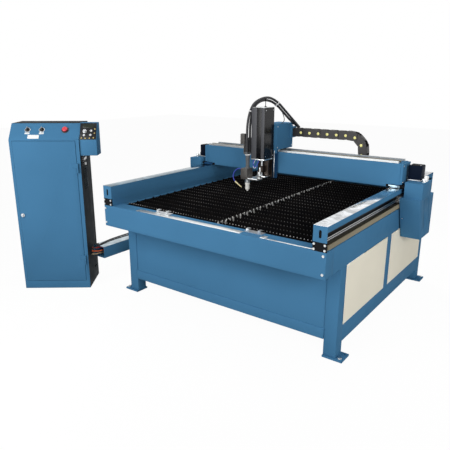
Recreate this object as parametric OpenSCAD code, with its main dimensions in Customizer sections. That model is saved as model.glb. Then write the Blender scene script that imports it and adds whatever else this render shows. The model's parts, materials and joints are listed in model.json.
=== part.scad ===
// CNC plasma table: a slatted bed on legs, a gantry on side rails, a torch carriage with a
// height slide, a cable trough and a control cabinet standing at the left. Millimetres.

/* [Table] */
// Width of the table frame, side to side
table_w = 1700; // [1500:10:2100]
// Depth of the table frame, front to back
table_d = 1900; // [1800:10:2300]
// Height of the frame's top face above the floor
frame_top = 715; // [640:5:820]
// Height of the front, rear and side beams
beam_h = 150; // [140:5:180]
// Depth of the front and rear beams
beam_d = 100; // [80:5:120]
// Sheet thickness of the folded beams
beam_sheet = 4; // [3:0.5:6]
// Side of the square leg tube, and width of the side beams
leg_s = 80; // [70:5:100]
// Wall of the leg and rail tubes
tube_wall = 5; // [3:0.5:8]
// From the front of the frame to the front legs
front_setback = 206; // [150:2:260]
// From the rear of the frame to the rear legs
rear_setback = 120; // [110:2:200]
// Height of the lower side rails
low_rail_h = 112; // [60:2:140]
// Floor to the underside of the lower rails
low_rail_z = 88; // [60:2:140]
// Width of the middle side post
post_w = 90; // [60:5:140]
// Sheet thickness of the cover panels
panel_t = 3; // [2:0.5:5]
// Height of the folded lip along the foot of the end panels
panel_lip_h = 68; // [40:2:100]
// Floor to the underside of the end panels
end_panel_z = 112; // [60:2:180]

/* [Feet] */
// Thickness of the foot plates
foot_t = 12; // [8:1:20]
// Reach of a foot plate past the leg's outer face
foot_reach = 45; // [40:1:70]
// Size of a foot plate along the table's depth
foot_w = 104; // [104:2:130]
// Radius of the anchor holes
anchor_r = 7; // [5:0.5:9]
// Radius of the levelling screws
level_r = 6; // [4:0.5:7]

/* [Bed] */
// Spacing of the slats
slat_pitch = 80; // [60:2:120]
// Height of a slat
slat_h = 110; // [80:5:120]
// Thickness of a slat
slat_t = 4; // [3:0.5:6]
// Spacing of the teeth along a slat
tooth_pitch = 22; // [16:1:30]
// Depth of a tooth
tooth_depth = 14; // [8:1:20]
// Place of the divider, from the left side of the frame
divider_x = 904; // [700:2:1000]
// Sheet thickness of the tray under the slats
tray_t = 3; // [2:0.5:5]
// Thickness of the slotted side combs
comb_t = 6; // [4:0.5:8]

/* [Rails and guards] */
// Width of a rail guard
guard_w = 80; // [80:1:100]
// Height of a guard's top above the frame
guard_h = 138; // [130:1:170]
// Sheet thickness of a guard
guard_t = 3; // [2:0.5:4]
// Height of a guard's outer lip
lip_h = 32; // [20:1:40]
// Height of the bracket under each guard end
bracket_h = 50; // [40:1:60]
// Thickness of the bracket plates
bracket_t = 6; // [4:0.5:10]
// Thickness of the bar that carries a side rail
bar_t = 12; // [8:1:14]
// Height of that bar
bar_h = 97; // [92:1:100]
// Width of a side rail
rail_w = 20; // [15:1:22]
// Height of a side rail off its bar
rail_h = 17; // [14:0.5:18]
// Centre of the side rail above the frame
rail_z = 65; // [62:1:70]
// Module of the side racks and drive gears
gear_m = 3; // [2:0.5:4]
// Teeth of a drive gear
gear_n = 40; // [34:1:44]
// Height of the side racks
rack_h = 28; // [20:1:30]

/* [Gantry] */
// Front face of the gantry beam, from the front of the frame
gantry_y = 1126; // [1100:2:1150]
// From the frame's side in to the end of the gantry beam
gantry_x = 20; // [10:1:40]
// Depth of the gantry beam
gantry_d = 164; // [160:2:180]
// Height of the gantry beam
gantry_h = 145; // [130:5:170]
// Thickness of the saddles under the beam's ends
saddle_t = 18; // [12:1:24]
// Gap between the guards and the saddles
saddle_gap = 4; // [3:0.5:8]
// Width of the side boxes
box_w = 134; // [130:2:150]
// Gap between the frame's side and the side boxes
box_gap = 8; // [7:0.5:12]
// Height of the lower side boxes
box_h = 295; // [240:5:310]
// Sheet thickness of the side boxes
box_t = 4; // [3:0.5:6]
// Height of the upper drive boxes
drive_h = 104; // [100:1:130]
// Side of a gantry motor
motor_s = 86; // [80:1:92]
// Height of a gantry motor
motor_h = 102; // [80:2:120]

/* [Carriage] */
// Centre of the carriage, from the left side of the frame
carriage_x = 669; // [640:1:700]
// Width of the carriage hood
hood_w = 138; // [134:2:160]
// Height of the carriage hood above the beam
hood_h = 212; // [200:2:240]
// Thickness of the carriage plate
plate_t = 12; // [10:1:14]
// Width of a beam rail
beam_rail_w = 15; // [12:1:18]
// Height of a beam rail
beam_rail_h = 14; // [12:0.5:16]
// Module of the beam's rack and its pinion
pinion_m = 2; // [1.5:0.5:2]
// Teeth of the beam pinion
pinion_n = 18; // [16:1:20]
// Width of the height slide's cover
cover_w = 117; // [116:1:124]
// Depth of the height slide's cover
cover_d = 132; // [130:1:140]
// Height of the height slide's cover
cover_h = 386; // [370:2:400]
// Radius of the height slide's screw
screw_r = 8; // [6:0.5:10]

/* [Torch] */
// Radius of the torch's body
torch_r = 20; // [14:0.5:20]
// Length of the torch's body above the nozzle cup
torch_l = 238; // [220:2:260]
// Length of the nozzle cup
cup_l = 65; // [50:1:70]
// Gap between the nozzle's tip and the slats
tip_gap = 10; // [9:0.5:14]

/* [Cabinet] */
// Width of the cabinet
cab_w = 500; // [480:5:560]
// Depth of the cabinet
cab_d = 300; // [280:5:360]
// Height of the cabinet
cab_h = 1255; // [1200:5:1320]
// Height of the sloped top
slope_h = 108; // [90:1:120]
// Depth of the sloped top
slope_d = 93; // [80:1:110]
// Sheet thickness of the cabinet
cab_t = 4; // [3:0.5:5]
// Turn of the cabinet about the vertical
cab_turn = 38; // [30:1:45]
// Front right corner of the cabinet, sideways from the frame's left side
cab_x = -276; // [-330:2:-270]
// Front right corner of the cabinet, back from the frame's front
cab_y = 35; // [0:1:40]

/* [Cable trough] */
// Width of the trough
trough_w = 122; // [100:2:126]
// Height of the trough's walls
trough_h = 88; // [70:2:100]
// Floor to the underside of the trough
trough_z = 212; // [150:2:240]
// Gap between the trough and the frame's side
trough_gap = 244; // [230:2:250]
// Sheet thickness of the trough
trough_t = 3; // [2:0.5:5]

/* [Fits] */
// Clearance of a turning shaft in its bore
turn_clear = 0.05; // [0.02:0.01:0.1]
// Clearance between sliding pieces
slide_clear = 0.6; // [0.4:0.1:1]
// Clearance of a slat in its slots
slot_clear = 0.3; // [0.2:0.1:0.5]
// Backlash between a gear and its rack, as a share of the tooth pitch
backlash = 0.1; // [0.06:0.02:0.16]

/* [Hidden] */
$fn = 48;
blue = [0.16, 0.36, 0.58];
black = [0.07, 0.07, 0.08];
steel = [0.72, 0.73, 0.75];
cream = [0.87, 0.84, 0.74];
rust = [0.36, 0.33, 0.29];
dark = [0.16, 0.15, 0.15];
eps = 0.5;

// Frame levels and stations
beam_bottom = frame_top - beam_h;
leg_y = [front_setback, table_d - rear_setback - leg_s];
anchor_mid_y = (leg_y[0] + leg_y[1] + leg_s) / 2;
post_y = (leg_y[0] + leg_y[1] + leg_s) / 2 - post_w / 2 - 20;
panel_z = [low_rail_z + low_rail_h, beam_bottom];
anchor_in = 18;

// Rail levels, measured from the inner face of a guard
guard_top = frame_top + guard_h;
bar_u = [40, 40 + bar_t];
rail_u = [bar_u[1], bar_u[1] + rail_h];
rail_mid = frame_top + rail_z;
block_h = rail_w + 24;
block_l = 75;
rack_z = [frame_top + 7, frame_top + 7 + rack_h];
rack_add = 0.8 * gear_m;
gear_r = gear_m * gear_n / 2;
gear_u = guard_w - rack_add + gear_r;
rail_end = 20;

// Gantry levels
saddle_z = guard_top + saddle_gap;
gantry_z = saddle_z + saddle_t;
gantry_top = gantry_z + gantry_h;
gantry_rear = gantry_y + gantry_d;
box_top = frame_top + 85;
drive_in = 18;
drive_y = [gantry_y - 24, gantry_y + 174];
box_y = [gantry_y - 56, gantry_y + 274];
box_lean = 111;
gear_y = gantry_y + 107;
gear_x = gear_u - guard_w;
shaft_r = 12;
saddle_in = 108;

// Carriage levels
hood_x = [carriage_x - hood_w / 2, carriage_x + hood_w / 2];
hood_y = [gantry_y - 44, gantry_rear + 45];
hood_z = [gantry_top + beam_rail_h + 4, gantry_top + hood_h];
hood_t = 4;
plate_z = gantry_top + beam_rail_h + 16;
plate_y = gantry_y - 10 - plate_t;
plate_low = [carriage_x - 89, carriage_x + 66];
rail_line = [gantry_y + 19, gantry_rear - 15];
rack_line = gantry_y + 54;
rack_body = 16;
pinion_r = pinion_m * pinion_n / 2;
pinion_y = rack_line + rack_body + pinion_r;
pinion_shaft = 6;
cover_x = [carriage_x - 71, carriage_x - 71 + cover_w];
cover_y = [hood_y[0] - cover_d, hood_y[0]];
cover_z = [gantry_top - 46, gantry_top - 46 + cover_h];
cover_t = 3;
z_mid = (cover_x[0] + cover_x[1]) / 2;
z_base_t = 12;
z_base_z = [cover_z[0] - 148, cover_z[1] - 20];
guide_half = 28;
guide_w = 12;
slide_t = 14;
slide_w = 92;
slide_y = cover_y[1] - z_base_t - 26 - slide_t;
screw_y = slide_y - 17;
slide_z = [cover_z[0] - 152, cover_z[0] + 26];

// Torch levels
torch_x = cover_x[0] - torch_r - 4;
torch_y = cover_y[0] - 10;
tip_z = frame_top + tip_gap;
cup_top = tip_z + cup_l;
torch_top = cup_top + torch_l;
arm_z = [slide_z[0], slide_z[0] + 12];
collar_top = cover_z[0] - 70;

// Chain sizes, shared by both chains
chain_h = 66;
chain_w = 60;
chain_r = 110;
chain_gap = 0.3;

// Chain across the beam
chain_y = gantry_rear + 14;
tray_z = gantry_z + 31;
chain_x0 = hood_x[1] + 14;
chain_bend_dx = 556;
chain_fix_dx = 181;
chain_x1 = carriage_x + chain_bend_dx;
chain_xf = carriage_x + chain_fix_dx;

// Chain along the trough
trough_x = [-trough_gap - trough_w, -trough_gap];
trough_y = [165, table_d - 50];
y_chain_x = trough_x[0] + (trough_w - chain_w) / 2;
y_chain_z = trough_z + trough_t + chain_gap;
y_chain_arm_dy = 12;
y_chain_bend_dy = 227;
y_chain_fix_dy = 333;
y_chain_0 = gear_y + y_chain_arm_dy;
y_chain_1 = gear_y + y_chain_bend_dy;
y_chain_f = gear_y - y_chain_fix_dy;
lid_l = 620;

// Cabinet levels
slope_z = cab_h - slope_h;
slope_tilt = atan2(slope_h, slope_d);
slope_l = norm([slope_h, slope_d]);
door_x = [-cab_w + 24, -28];
door_z = [64, slope_z - 11];
door_skin = 3;
door_d = 18;
door_back = door_d - door_skin;
door_gap = 2;
hinge_x = -20;
hinge_y = -9;
hinge_r = 6;
hinge_pin = 3;
hinge_zs = [200, slope_z - 240];
hinge_l = 34;
latch_x = door_x[0] + 20;
latch_z = 590;
latch_r = 8;
cam_w = 14;
cam_l = 32;
cam_y = [door_back + chain_gap, door_back + chain_gap + 4];
knob_xs = [-374, -272];
stop_x = -105;
knob_s = 0.58 * slope_l;
knob_shaft = 6;
stop_shaft = 8;
stop_travel = 6;
op_x = 125;
op_y = [10, 130];
op_z = [slope_z - 117, slope_z + 113];
op_slope_y = 75;
op_slope_z = slope_z - 5;
op_tilt = atan2(op_z[1] - op_slope_z, op_slope_y - op_y[0]);
op_s = norm([op_z[1] - op_slope_z, op_slope_y - op_y[0]]);
dial_shaft = 5;

// Hose routes over the cover to the beam's chain, measured from the torch's top
function from_torch(p) = [for (q = p) [torch_x, torch_y, torch_top] + q];
hose_r = 9;
hose_a = from_torch([[0, -14, 0.2], [0, -14, 82], [0, -13, 152], [0.5, -8, 212], [3, 5, 270],
    [8, 24, 318], [18.5, 47, 356], [38, 74, 381], [63, 107, 397], [88, 142, 399.5], [111, 178, 385],
    [134, 217, 355], [160, 263, 305], [191, 318, 243], [229, 380, 170.8]]);
hose_b = from_torch([[0, 26, 0.2], [0, 26, 82], [0, 26, 152], [1, 28, 212], [4, 37, 268],
    [8, 53, 315.5], [20, 72.5, 348.5], [38.5, 99.5, 371.5], [60, 129.5, 380.5], [82, 161.5, 376],
    [101, 195, 360], [120, 232, 331], [144, 277, 283], [175, 332, 224], [211, 394, 171.8]]);
// Sensing wire that hangs at the left of the torch, measured in the same way
wire_r = 4;
wire_path = from_torch([[-38, 0, -140], [-64, 0, -134], [-96, 0, -142], [-124, 0, -166],
    [-136, 0, -196], [-132, 0, -224], [-118, 0, -242]]);
wire_tip = from_torch([[-118, 0, -242], [-54, 0, -282]]);
// Cables between the cabinet's glands and the trough, in the cabinet's own axes
cable_r = 6;
cable_bend = 50;
cable_leads = [8, 33, 8];
cable_fall = 120;
cable_zs = [236, 258, 280];
cable_ys = [118, 128, 138];

// Shared shapes

// A box given by its spans along the three axes
module span(x, y, z) {
    translate([x[0], y[0], z[0]]) cube([x[1] - x[0], y[1] - y[0], z[1] - z[0]]);
}

// A span of a size about its middle
function about(mid, size) = [mid - size / 2, mid + size / 2];

// The frame's corner to the part's origin, midway between the anchor holes on the floor
module placed() {
    translate([-table_w / 2, -anchor_mid_y, 0]) children();
}

// A piece made for the right side, at its place or mirrored to the left side
module right() {
    translate([table_w, 0, 0]) children();
}
module left() {
    mirror([1, 0, 0]) children();
}
module both_sides() {
    right() children();
    left() children();
}

// A cap screw along +Y into a face, with its head in front of the face
module front_screw(head_r, head_h, shank_r, shank_l) {
    rotate([90, 0, 0]) {
        cylinder(r = head_r, h = head_h, $fn = 6);
        translate([0, 0, -shank_l]) cylinder(r = shank_r, h = shank_l);
    }
}

// Teeth of a rack along X: flanks at 20 degrees, spaces centred on zero and every pitch from it
module rack_teeth(m, lo, hi) {
    p = PI * m;
    add = 0.8 * m;
    ded = 1.05 * m;
    half = p * (0.5 - backlash) / 2;
    n0 = ceil(lo / p - 0.5) + 1;
    n1 = floor(hi / p - 0.5) - 1;
    for_teeth = [for (k = [n0:n1]) let (c = (k + 0.5) * p) each [
        [c - half - ded * tan(20), 0], [c - half + add * tan(20), add + ded],
        [c + half - add * tan(20), add + ded], [c + half + ded * tan(20), 0]]];
    polygon(concat([[lo, -eps]], [[lo, 0]], for_teeth, [[hi, 0]], [[hi, -eps]]));
}

// A spur gear blank with trapezoid teeth, one of them pointing along -X
module gear_teeth(m, n) {
    r = m * n / 2;
    add = 0.8 * m;
    ded = 1.05 * m;
    half = PI * m * (0.5 - backlash) / 2;
    root = r - ded;
    tip = r + add;
    polygon([for (k = [0:n - 1]) let (a = 180 + 360 * k / n) for (q = [
            [root, -half - ded * tan(14)], [tip, -half + add * tan(24)],
            [tip, half - add * tan(24)], [root, half + ded * tan(14)]])
        [q[0] * cos(a) - q[1] * sin(a), q[0] * sin(a) + q[1] * cos(a)]]);
}

// A smooth run of points through a hand-drawn route
function unit(v) = v / norm(v);
function bend(a, b, c, d, t) = 0.5 * (2 * b + (c - a) * t + (2 * a - 5 * b + 4 * c - d) * t * t
    + (3 * b - a - 3 * c + d) * t * t * t);
function smooth(p, n) = concat([for (i = [0:len(p) - 2]) let (a = p[max(i - 1, 0)], b = p[i],
    c = p[i + 1], d = p[min(i + 2, len(p) - 1)]) for (k = [0:n - 1]) bend(a, b, c, d, k / n)],
    [p[len(p) - 1]]);
function along(p, i) = unit(p[min(i + 1, len(p) - 1)] - p[max(i - 1, 0)]);
function ring(c, t, r, n, ref) = let (a = unit(cross(t, ref)), b = cross(t, a))
    [for (k = [0:n - 1]) c + r * (cos(360 * k / n) * a + sin(360 * k / n) * b)];

// A round tube swept along a route; ref is a direction that the route never takes
module tube(path, r, n, ref) {
    m = len(path);
    points = [for (i = [0:m - 1]) each ring(path[i], along(path, i), r, n, ref)];
    walls = [for (i = [0:m - 2]) for (k = [0:n - 1]) let (a = i * n + k, b = i * n + (k + 1) % n)
        each [[a, a + n, b], [b, a + n, b + n]]];
    caps = [for (k = [1:n - 2]) each [[0, k, k + 1],
        [(m - 1) * n, (m - 1) * n + k + 1, (m - 1) * n + k]]];
    polyhedron(points = points, faces = concat(walls, caps), convexity = 10);
}

// A chain loop in the XZ plane: an upper run from zero to reach, a half-round bend and a lower run
module chain_loop(reach, back, h, w, r) {
    translate([0, 0, 2 * r]) cube([reach, w, h]);
    translate([reach - back, 0, 0]) cube([back, w, h]);
    translate([reach, w, r + h / 2]) rotate([90, 0, 0]) rotate_extrude(angle = 180, start = -90)
        translate([r - h / 2, 0]) square([h, w]);
}

// Table frame

module beam_channel() {
    difference() {
        span([0, table_w], [0, beam_d], [beam_bottom, frame_top]);
        span([beam_sheet, table_w - beam_sheet], [beam_sheet, beam_d + eps],
            [beam_bottom + beam_sheet, frame_top - beam_sheet]);
    }
}
corner_bolt = [[15, frame_top - 20], [15, beam_bottom + 28]];
corner_bolt_r = 4;
module front_beam() color(blue) difference() {
    beam_channel();
    for (x = [corner_bolt[0][0], table_w - corner_bolt[0][0]]) for (b = corner_bolt)
        translate([x, -eps, b[1]]) rotate([-90, 0, 0])
            cylinder(r = corner_bolt_r + slot_clear, h = beam_sheet + 2 * eps);
}
module rear_beam() color(blue) translate([table_w, table_d, 0]) rotate(180) beam_channel();

module tube_y(x, y, z) {
    difference() {
        span(x, y, z);
        span([x[0] + tube_wall, x[1] - tube_wall], [y[0] - eps, y[1] + eps],
            [z[0] + tube_wall, z[1] - tube_wall]);
    }
}
module side_frame() {
    tube_y([-leg_s, 0], [beam_d, table_d - beam_d], [beam_bottom, frame_top]);
    tube_y([-leg_s, 0], [leg_y[0] + leg_s, leg_y[1]], [low_rail_z, low_rail_z + low_rail_h]);
    difference() {
        span([-leg_s, 0], [post_y, post_y + post_w], panel_z);
        span([-leg_s + tube_wall, -tube_wall], [post_y + tube_wall, post_y + post_w - tube_wall],
            [panel_z[0] - eps, panel_z[1] + eps]);
    }
}
module side_frames() color(blue) both_sides() side_frame();

module leg_tube(y) {
    difference() {
        span([-leg_s, 0], [y, y + leg_s], [foot_t, beam_bottom]);
        span([-leg_s + tube_wall, -tube_wall], [y + tube_wall, y + leg_s - tube_wall],
            [foot_t - eps, beam_bottom + eps]);
    }
}
module legs() color(blue) both_sides() for (y = leg_y) leg_tube(y);

// Each foot plate has one free anchor hole and one hole for its levelling screw
foot_x = foot_reach - 20;
function foot_mid(y) = y + leg_s / 2;
module foot_plate(y, side) {
    difference() {
        span([-leg_s, foot_reach], [foot_mid(y) - foot_w / 2, foot_mid(y) + foot_w / 2], [0, foot_t]);
        translate([foot_x, foot_mid(y) + side * (foot_w / 2 - anchor_in), -eps])
            cylinder(r = anchor_r, h = foot_t + 2 * eps);
        translate([foot_x, foot_mid(y) - side * (foot_w / 2 - anchor_in), -eps])
            cylinder(r = level_r + slot_clear, h = foot_t + 2 * eps);
    }
}
module foot_plates() color(blue) both_sides() {
    foot_plate(leg_y[0], 1);
    foot_plate(leg_y[1], -1);
}

// All screws that hold the frame, its brackets and its panels
guard_bolt_r = 4;
guard_bolt_u = [9, guard_w - 9];
guard_bolt_z = [frame_top + 11, frame_top + bracket_h - 11];
panel_screw_r = 3;
panel_screw_in = 14;
module table_bolts() color(steel) {
    both_sides() for (k = [0, 1]) let (side = k == 0 ? -1 : 1)
        translate([foot_x, foot_mid(leg_y[k]) + side * (foot_w / 2 - anchor_in), 0]) {
            cylinder(r = level_r, h = foot_t);
            translate([0, 0, foot_t]) cylinder(r = 2 * level_r, h = 10, $fn = 6);
        }
    both_sides() for (b = corner_bolt) translate([-b[0], 0, b[1]])
        front_screw(2 * corner_bolt_r, 5, corner_bolt_r, beam_sheet);
    both_sides() for (u = guard_bolt_u) for (z = guard_bolt_z) {
        translate([u - guard_w, 0, z]) front_screw(1.7 * guard_bolt_r, 5, guard_bolt_r, bracket_t);
        translate([u - guard_w, table_d, z]) rotate(180)
            front_screw(1.7 * guard_bolt_r, 5, guard_bolt_r, bracket_t);
    }
    both_sides() for (p = panel_spans) for (y = [p[0] + panel_screw_in, p[1] - panel_screw_in])
        for (z = [panel_z[0] + panel_screw_in, panel_z[1] - panel_screw_in])
            translate([panel_t, y, z]) rotate([0, 90, 0]) {
                cylinder(r = 2 * panel_screw_r, h = 2.5);
                translate([0, 0, -panel_t]) cylinder(r = panel_screw_r, h = panel_t);
            }
}

// End panels between the legs, with a folded lip along the foot
module end_panel(y) {
    span([leg_s, table_w - leg_s], [y, y + panel_t], [end_panel_z, beam_bottom]);
    span([leg_s, table_w - leg_s], [y - 14, y], [end_panel_z, end_panel_z + panel_lip_h]);
}
module end_panels() color(blue) {
    end_panel(leg_y[0] + 6);
    translate([table_w, table_d, 0]) rotate(180) end_panel(rear_setback + 6);
}

panel_spans = [[leg_y[0] + leg_s - 8, post_y + 4], [post_y + post_w - 4, leg_y[1] + 8]];
module access_panels() color(cream) both_sides() for (p = panel_spans) difference() {
    span([0, panel_t], p, panel_z);
    for (y = [p[0] + panel_screw_in, p[1] - panel_screw_in])
        for (z = [panel_z[0] + panel_screw_in, panel_z[1] - panel_screw_in])
            translate([-eps, y, z]) rotate([0, 90, 0])
                cylinder(r = panel_screw_r + slot_clear, h = panel_t + 2 * eps);
}

// Bed

bed_x = [leg_s, table_w - leg_s];
bed_y = [beam_d, table_d - beam_d];
slat_z = [frame_top - slat_h, frame_top];
slat_count = floor((bed_y[1] - bed_y[0] - 80) / slat_pitch) + 1;
slat_y0 = (bed_y[0] + bed_y[1] - (slat_count - 1) * slat_pitch) / 2;
slat_ys = [for (k = [0:slat_count - 1]) slat_y0 + k * slat_pitch];
slot_w = slat_t + 2 * slot_clear;
lap_z = (slat_z[0] + slat_z[1]) / 2 - 10;

module slag_tray() color(dark) difference() {
    span(bed_x, bed_y, [beam_bottom, frame_top - 15]);
    span([bed_x[0] + tray_t, bed_x[1] - tray_t], [bed_y[0] + tray_t, bed_y[1] - tray_t],
        [beam_bottom + tray_t, frame_top]);
}
comb_z = [beam_bottom + tray_t, frame_top - 12];
module comb() difference() {
    span([0, comb_t], [bed_y[0] + tray_t, bed_y[1] - tray_t], comb_z);
    for (y = slat_ys)
        span([-eps, comb_t + eps], [y - slot_w / 2, y + slot_w / 2], [slat_z[0], frame_top]);
}
module slat_combs() color(dark) {
    translate([bed_x[0] + tray_t, 0, 0]) comb();
    translate([bed_x[1] - tray_t - comb_t, 0, 0]) comb();
}
// Zigzag edge from a to b at level z, as polygon points
function zigzag(a, b, z) = let (n = floor((b - a) / tooth_pitch), s = (b - a) / n)
    [for (k = [0:n - 1]) each [[a + k * s, z - tooth_depth], [a + (k + 0.5) * s, z]]];
module slat_divider() color(steel) difference() {
    translate([divider_x - slat_t / 2, 0, 0]) rotate([90, 0, 90]) linear_extrude(slat_t)
        polygon(concat([[bed_y[0] + tray_t, comb_z[0]]],
            zigzag(bed_y[0] + tray_t, bed_y[1] - tray_t, frame_top),
            [[bed_y[1] - tray_t, frame_top - tooth_depth], [bed_y[1] - tray_t, comb_z[0]]]));
    for (y = slat_ys) span([divider_x - slat_t, divider_x + slat_t],
        [y - slot_w / 2, y + slot_w / 2], [lap_z, frame_top + eps]);
}
slat_x = [bed_x[0] + tray_t + slot_clear, bed_x[1] - tray_t - slot_clear];
module slats() color(dark) for (y = slat_ys) translate([0, y + slat_t / 2, 0]) rotate([90, 0, 0])
    linear_extrude(slat_t) difference() {
        polygon(concat([[slat_x[0], slat_z[0]]], zigzag(slat_x[0], slat_x[1], frame_top),
            [[slat_x[1], frame_top - tooth_depth], [slat_x[1], slat_z[0]]]));
        translate([divider_x - slot_w / 2, slat_z[0] - eps])
            square([slot_w, lap_z - slat_z[0] + eps + slot_clear]);
    }
// Hold-down clips at the front edge of the bed: a base plate with two bent prongs
clip_xs = [500, 1214];
clip_w = 120;
clip_d = 40;
clip_t = 4;
clip_h = 22;
prong_w = 18;
prong_reach = 26;
module clip_prong(x) {
    y = beam_d - clip_d;
    span([x, x + prong_w], [y, y + clip_t], [frame_top + clip_t - eps, frame_top + clip_h]);
    span([x, x + prong_w], [y, y + prong_reach], [frame_top + clip_h - clip_t, frame_top + clip_h]);
}
module slat_clips() color(steel) for (x = clip_xs) {
    span([x - clip_w / 2, x + clip_w / 2], [beam_d - clip_d, beam_d], [frame_top, frame_top + clip_t]);
    for (side = [-1, 1]) clip_prong(x + side * clip_w / 3 - prong_w / 2);
}

// Rails, racks and their guards

guard_foot = 28;
cap_slot = [16, 28];
module rail_guard() {
    cap_z = frame_top + bracket_h;
    translate([-guard_w, 0, 0]) difference() {
        union() {
            span([0, guard_t], [guard_t, table_d - guard_t], [frame_top, guard_top]);
            span([guard_t, guard_w], [guard_t, table_d - guard_t], [guard_top - guard_t, guard_top]);
            span([guard_w - guard_t, guard_w], [guard_t, table_d - guard_t],
                [guard_top - lip_h, guard_top - guard_t]);
            span([guard_t, guard_foot], [guard_t, table_d - guard_t], [frame_top, frame_top + guard_t]);
            span([0, guard_w], [0, guard_t], [cap_z, guard_top]);
            span([0, guard_w], [table_d - guard_t, table_d], [cap_z, guard_top]);
        }
        for (y = [-eps, table_d - bracket_t - slot_clear])
            span([-eps, guard_w + eps], [y, y + bracket_t + slot_clear + eps], [frame_top - eps, cap_z]);
        translate([guard_w / 2, guard_t + eps, (cap_z + guard_top) / 2]) rotate([90, 0, 0])
            linear_extrude(guard_t + 2 * eps) {
                square(cap_slot, center = true);
                for (z = about(0, cap_slot[1])) translate([0, z]) circle(d = cap_slot[0]);
            }
    }
}
module rail_guard_left() color(blue) left() rail_guard();
module rail_guard_right() color(blue) right() rail_guard();

module guard_bracket() difference() {
    span([-guard_w, 0], [0, bracket_t], [frame_top, frame_top + bracket_h]);
    for (u = guard_bolt_u) for (z = guard_bolt_z) translate([u - guard_w, -eps, z]) rotate([-90, 0, 0])
        cylinder(r = guard_bolt_r + slot_clear, h = bracket_t + 2 * eps);
}
module guard_brackets() color(black) both_sides() {
    guard_bracket();
    translate([-guard_w, table_d, 0]) rotate(180) guard_bracket();
}

rail_y = [rail_end, table_d - rail_end];
module linear_rails() both_sides() translate([-guard_w, 0, 0]) {
    color(black) span(bar_u, rail_y, [frame_top, frame_top + bar_h]);
    color(steel) span(rail_u, rail_y, [rail_mid - rail_w / 2, rail_mid + rail_w / 2]);
}
module gear_racks() color(rust) both_sides() {
    face = guard_w - rack_add - 1.05 * gear_m;
    translate([-guard_w, 0, 0]) span([bar_u[1], face - eps], rail_y, rack_z);
    translate([-guard_w + face, gear_y, rack_z[0]]) rotate(90) mirror([0, 1, 0]) linear_extrude(rack_h)
        rack_teeth(gear_m, rail_y[0] - gear_y, rail_y[1] - gear_y);
}

// Cable trough beside the table

module cable_trough() color(blue) {
    difference() {
        span(trough_x, trough_y, [trough_z, trough_z + trough_h]);
        span([trough_x[0] + trough_t, trough_x[1] - trough_t], [trough_y[0] - eps, trough_y[1] + eps],
            [trough_z + trough_t, trough_z + trough_h + eps]);
    }
    span(trough_x, [trough_y[0], trough_y[0] + lid_l],
        [trough_z + trough_h, trough_z + trough_h + trough_t]);
}
stand_ys = [620, table_d - 360];
stand_foot = [120, 100, 8];
stand_post = 50;
trough_mid = (trough_x[0] + trough_x[1]) / 2;
module trough_stands() color(blue) for (y = stand_ys) {
    span(about(trough_mid, stand_foot[0]), about(y, stand_foot[1]), [0, stand_foot[2]]);
    span(about(trough_mid, stand_post), about(y, stand_post), [stand_foot[2], trough_z]);
}

// Gantry

beam_wall = 6;
beam_lip_d = 8;
cable_hole = [120, 15, 7];
module gantry_beam() color(blue) difference() {
    union() {
        span([gantry_x, table_w - gantry_x], [gantry_y, gantry_rear], [gantry_z, gantry_top]);
        span([saddle_in, table_w - saddle_in], [gantry_y, gantry_y + beam_lip_d],
            [gantry_z - saddle_t, gantry_z]);
    }
    span([gantry_x + beam_wall, table_w - gantry_x - beam_wall],
        [gantry_y + beam_wall, gantry_rear - beam_wall], [gantry_z + beam_wall, gantry_top - beam_wall]);
    for (x = [gantry_x + cable_hole[0], table_w - gantry_x - cable_hole[0]])
        translate([x, gantry_rear + eps, gantry_z + cable_hole[1]]) rotate([90, 0, 0])
            cylinder(r = cable_hole[2], h = beam_wall + 2 * eps);
}
module gantry_saddles() color(black) both_sides()
    span([-saddle_in, box_gap + drive_in], [gantry_y, drive_y[1]], [saddle_z, gantry_z]);

// Upper boxes around the drive shafts, open underneath
drive_x = [box_gap + drive_in, box_gap + drive_in + box_w - 14];
module drive_boxes() color(blue) both_sides() difference() {
    span(drive_x, drive_y, [box_top, box_top + drive_h]);
    span([drive_x[0] + box_t, drive_x[1] - box_t], [drive_y[0] + box_t, drive_y[1] - box_t],
        [box_top - eps, box_top + drive_h - box_t]);
    translate([gear_x, gear_y, box_top]) cylinder(r = shaft_r + turn_clear, h = drive_h + eps);
}

// Lower boxes hang outside the frame, lean in at the front and carry two pressed grooves
function box_outline(t) = [[box_y[0] + t, box_top - t], [box_y[0] + box_lean + t, box_top - box_h + t],
    [box_y[1] - t, box_top - box_h + t], [box_y[1] - t, box_top - t]];
module box_block(x, t) translate([x[0], 0, 0]) rotate([90, 0, 90]) linear_extrude(x[1] - x[0])
    polygon(box_outline(t));
groove_ys = [100, 200];
groove_w = 10;
groove_h = 196;
groove_lean = 74;
groove_depth = 1.5;
groove_top = box_top - 12;
window_h = [8, 6];
window_w = 92;
module groove(y) polygon([[y, groove_top], [y + groove_w, groove_top],
    [y + groove_w + groove_lean, groove_top - groove_h], [y + groove_lean, groove_top - groove_h]]);
module side_box() difference() {
    box_block([box_gap, box_gap + box_w], 0);
    box_block([box_gap + box_t, box_gap + box_w - box_t], box_t);
    span([box_gap - eps, box_gap + box_t + eps], about(gear_y, window_w),
        [rack_z[0] - window_h[0], rack_z[1] + window_h[1]]);
    translate([gear_x, gear_y, box_top - 2 * box_t]) cylinder(r = shaft_r + turn_clear, h = 3 * box_t);
    for (g = groove_ys) translate([box_gap + box_w - groove_depth, 0, 0]) rotate([90, 0, 90])
        linear_extrude(2 * groove_depth) groove(box_y[0] + g);
}
module side_box_left() color(blue) {
    left() side_box();
    // Arm that carries the moving end of the trough's chain
    span([y_chain_x, -box_gap - box_t], [y_chain_0, y_chain_0 + chain_arm_w],
        [chain_arm_z, max(chain_arm_z + chain_arm_t, box_top - box_h)]);
}
chain_arm_w = 40;
chain_arm_t = 12;
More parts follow.
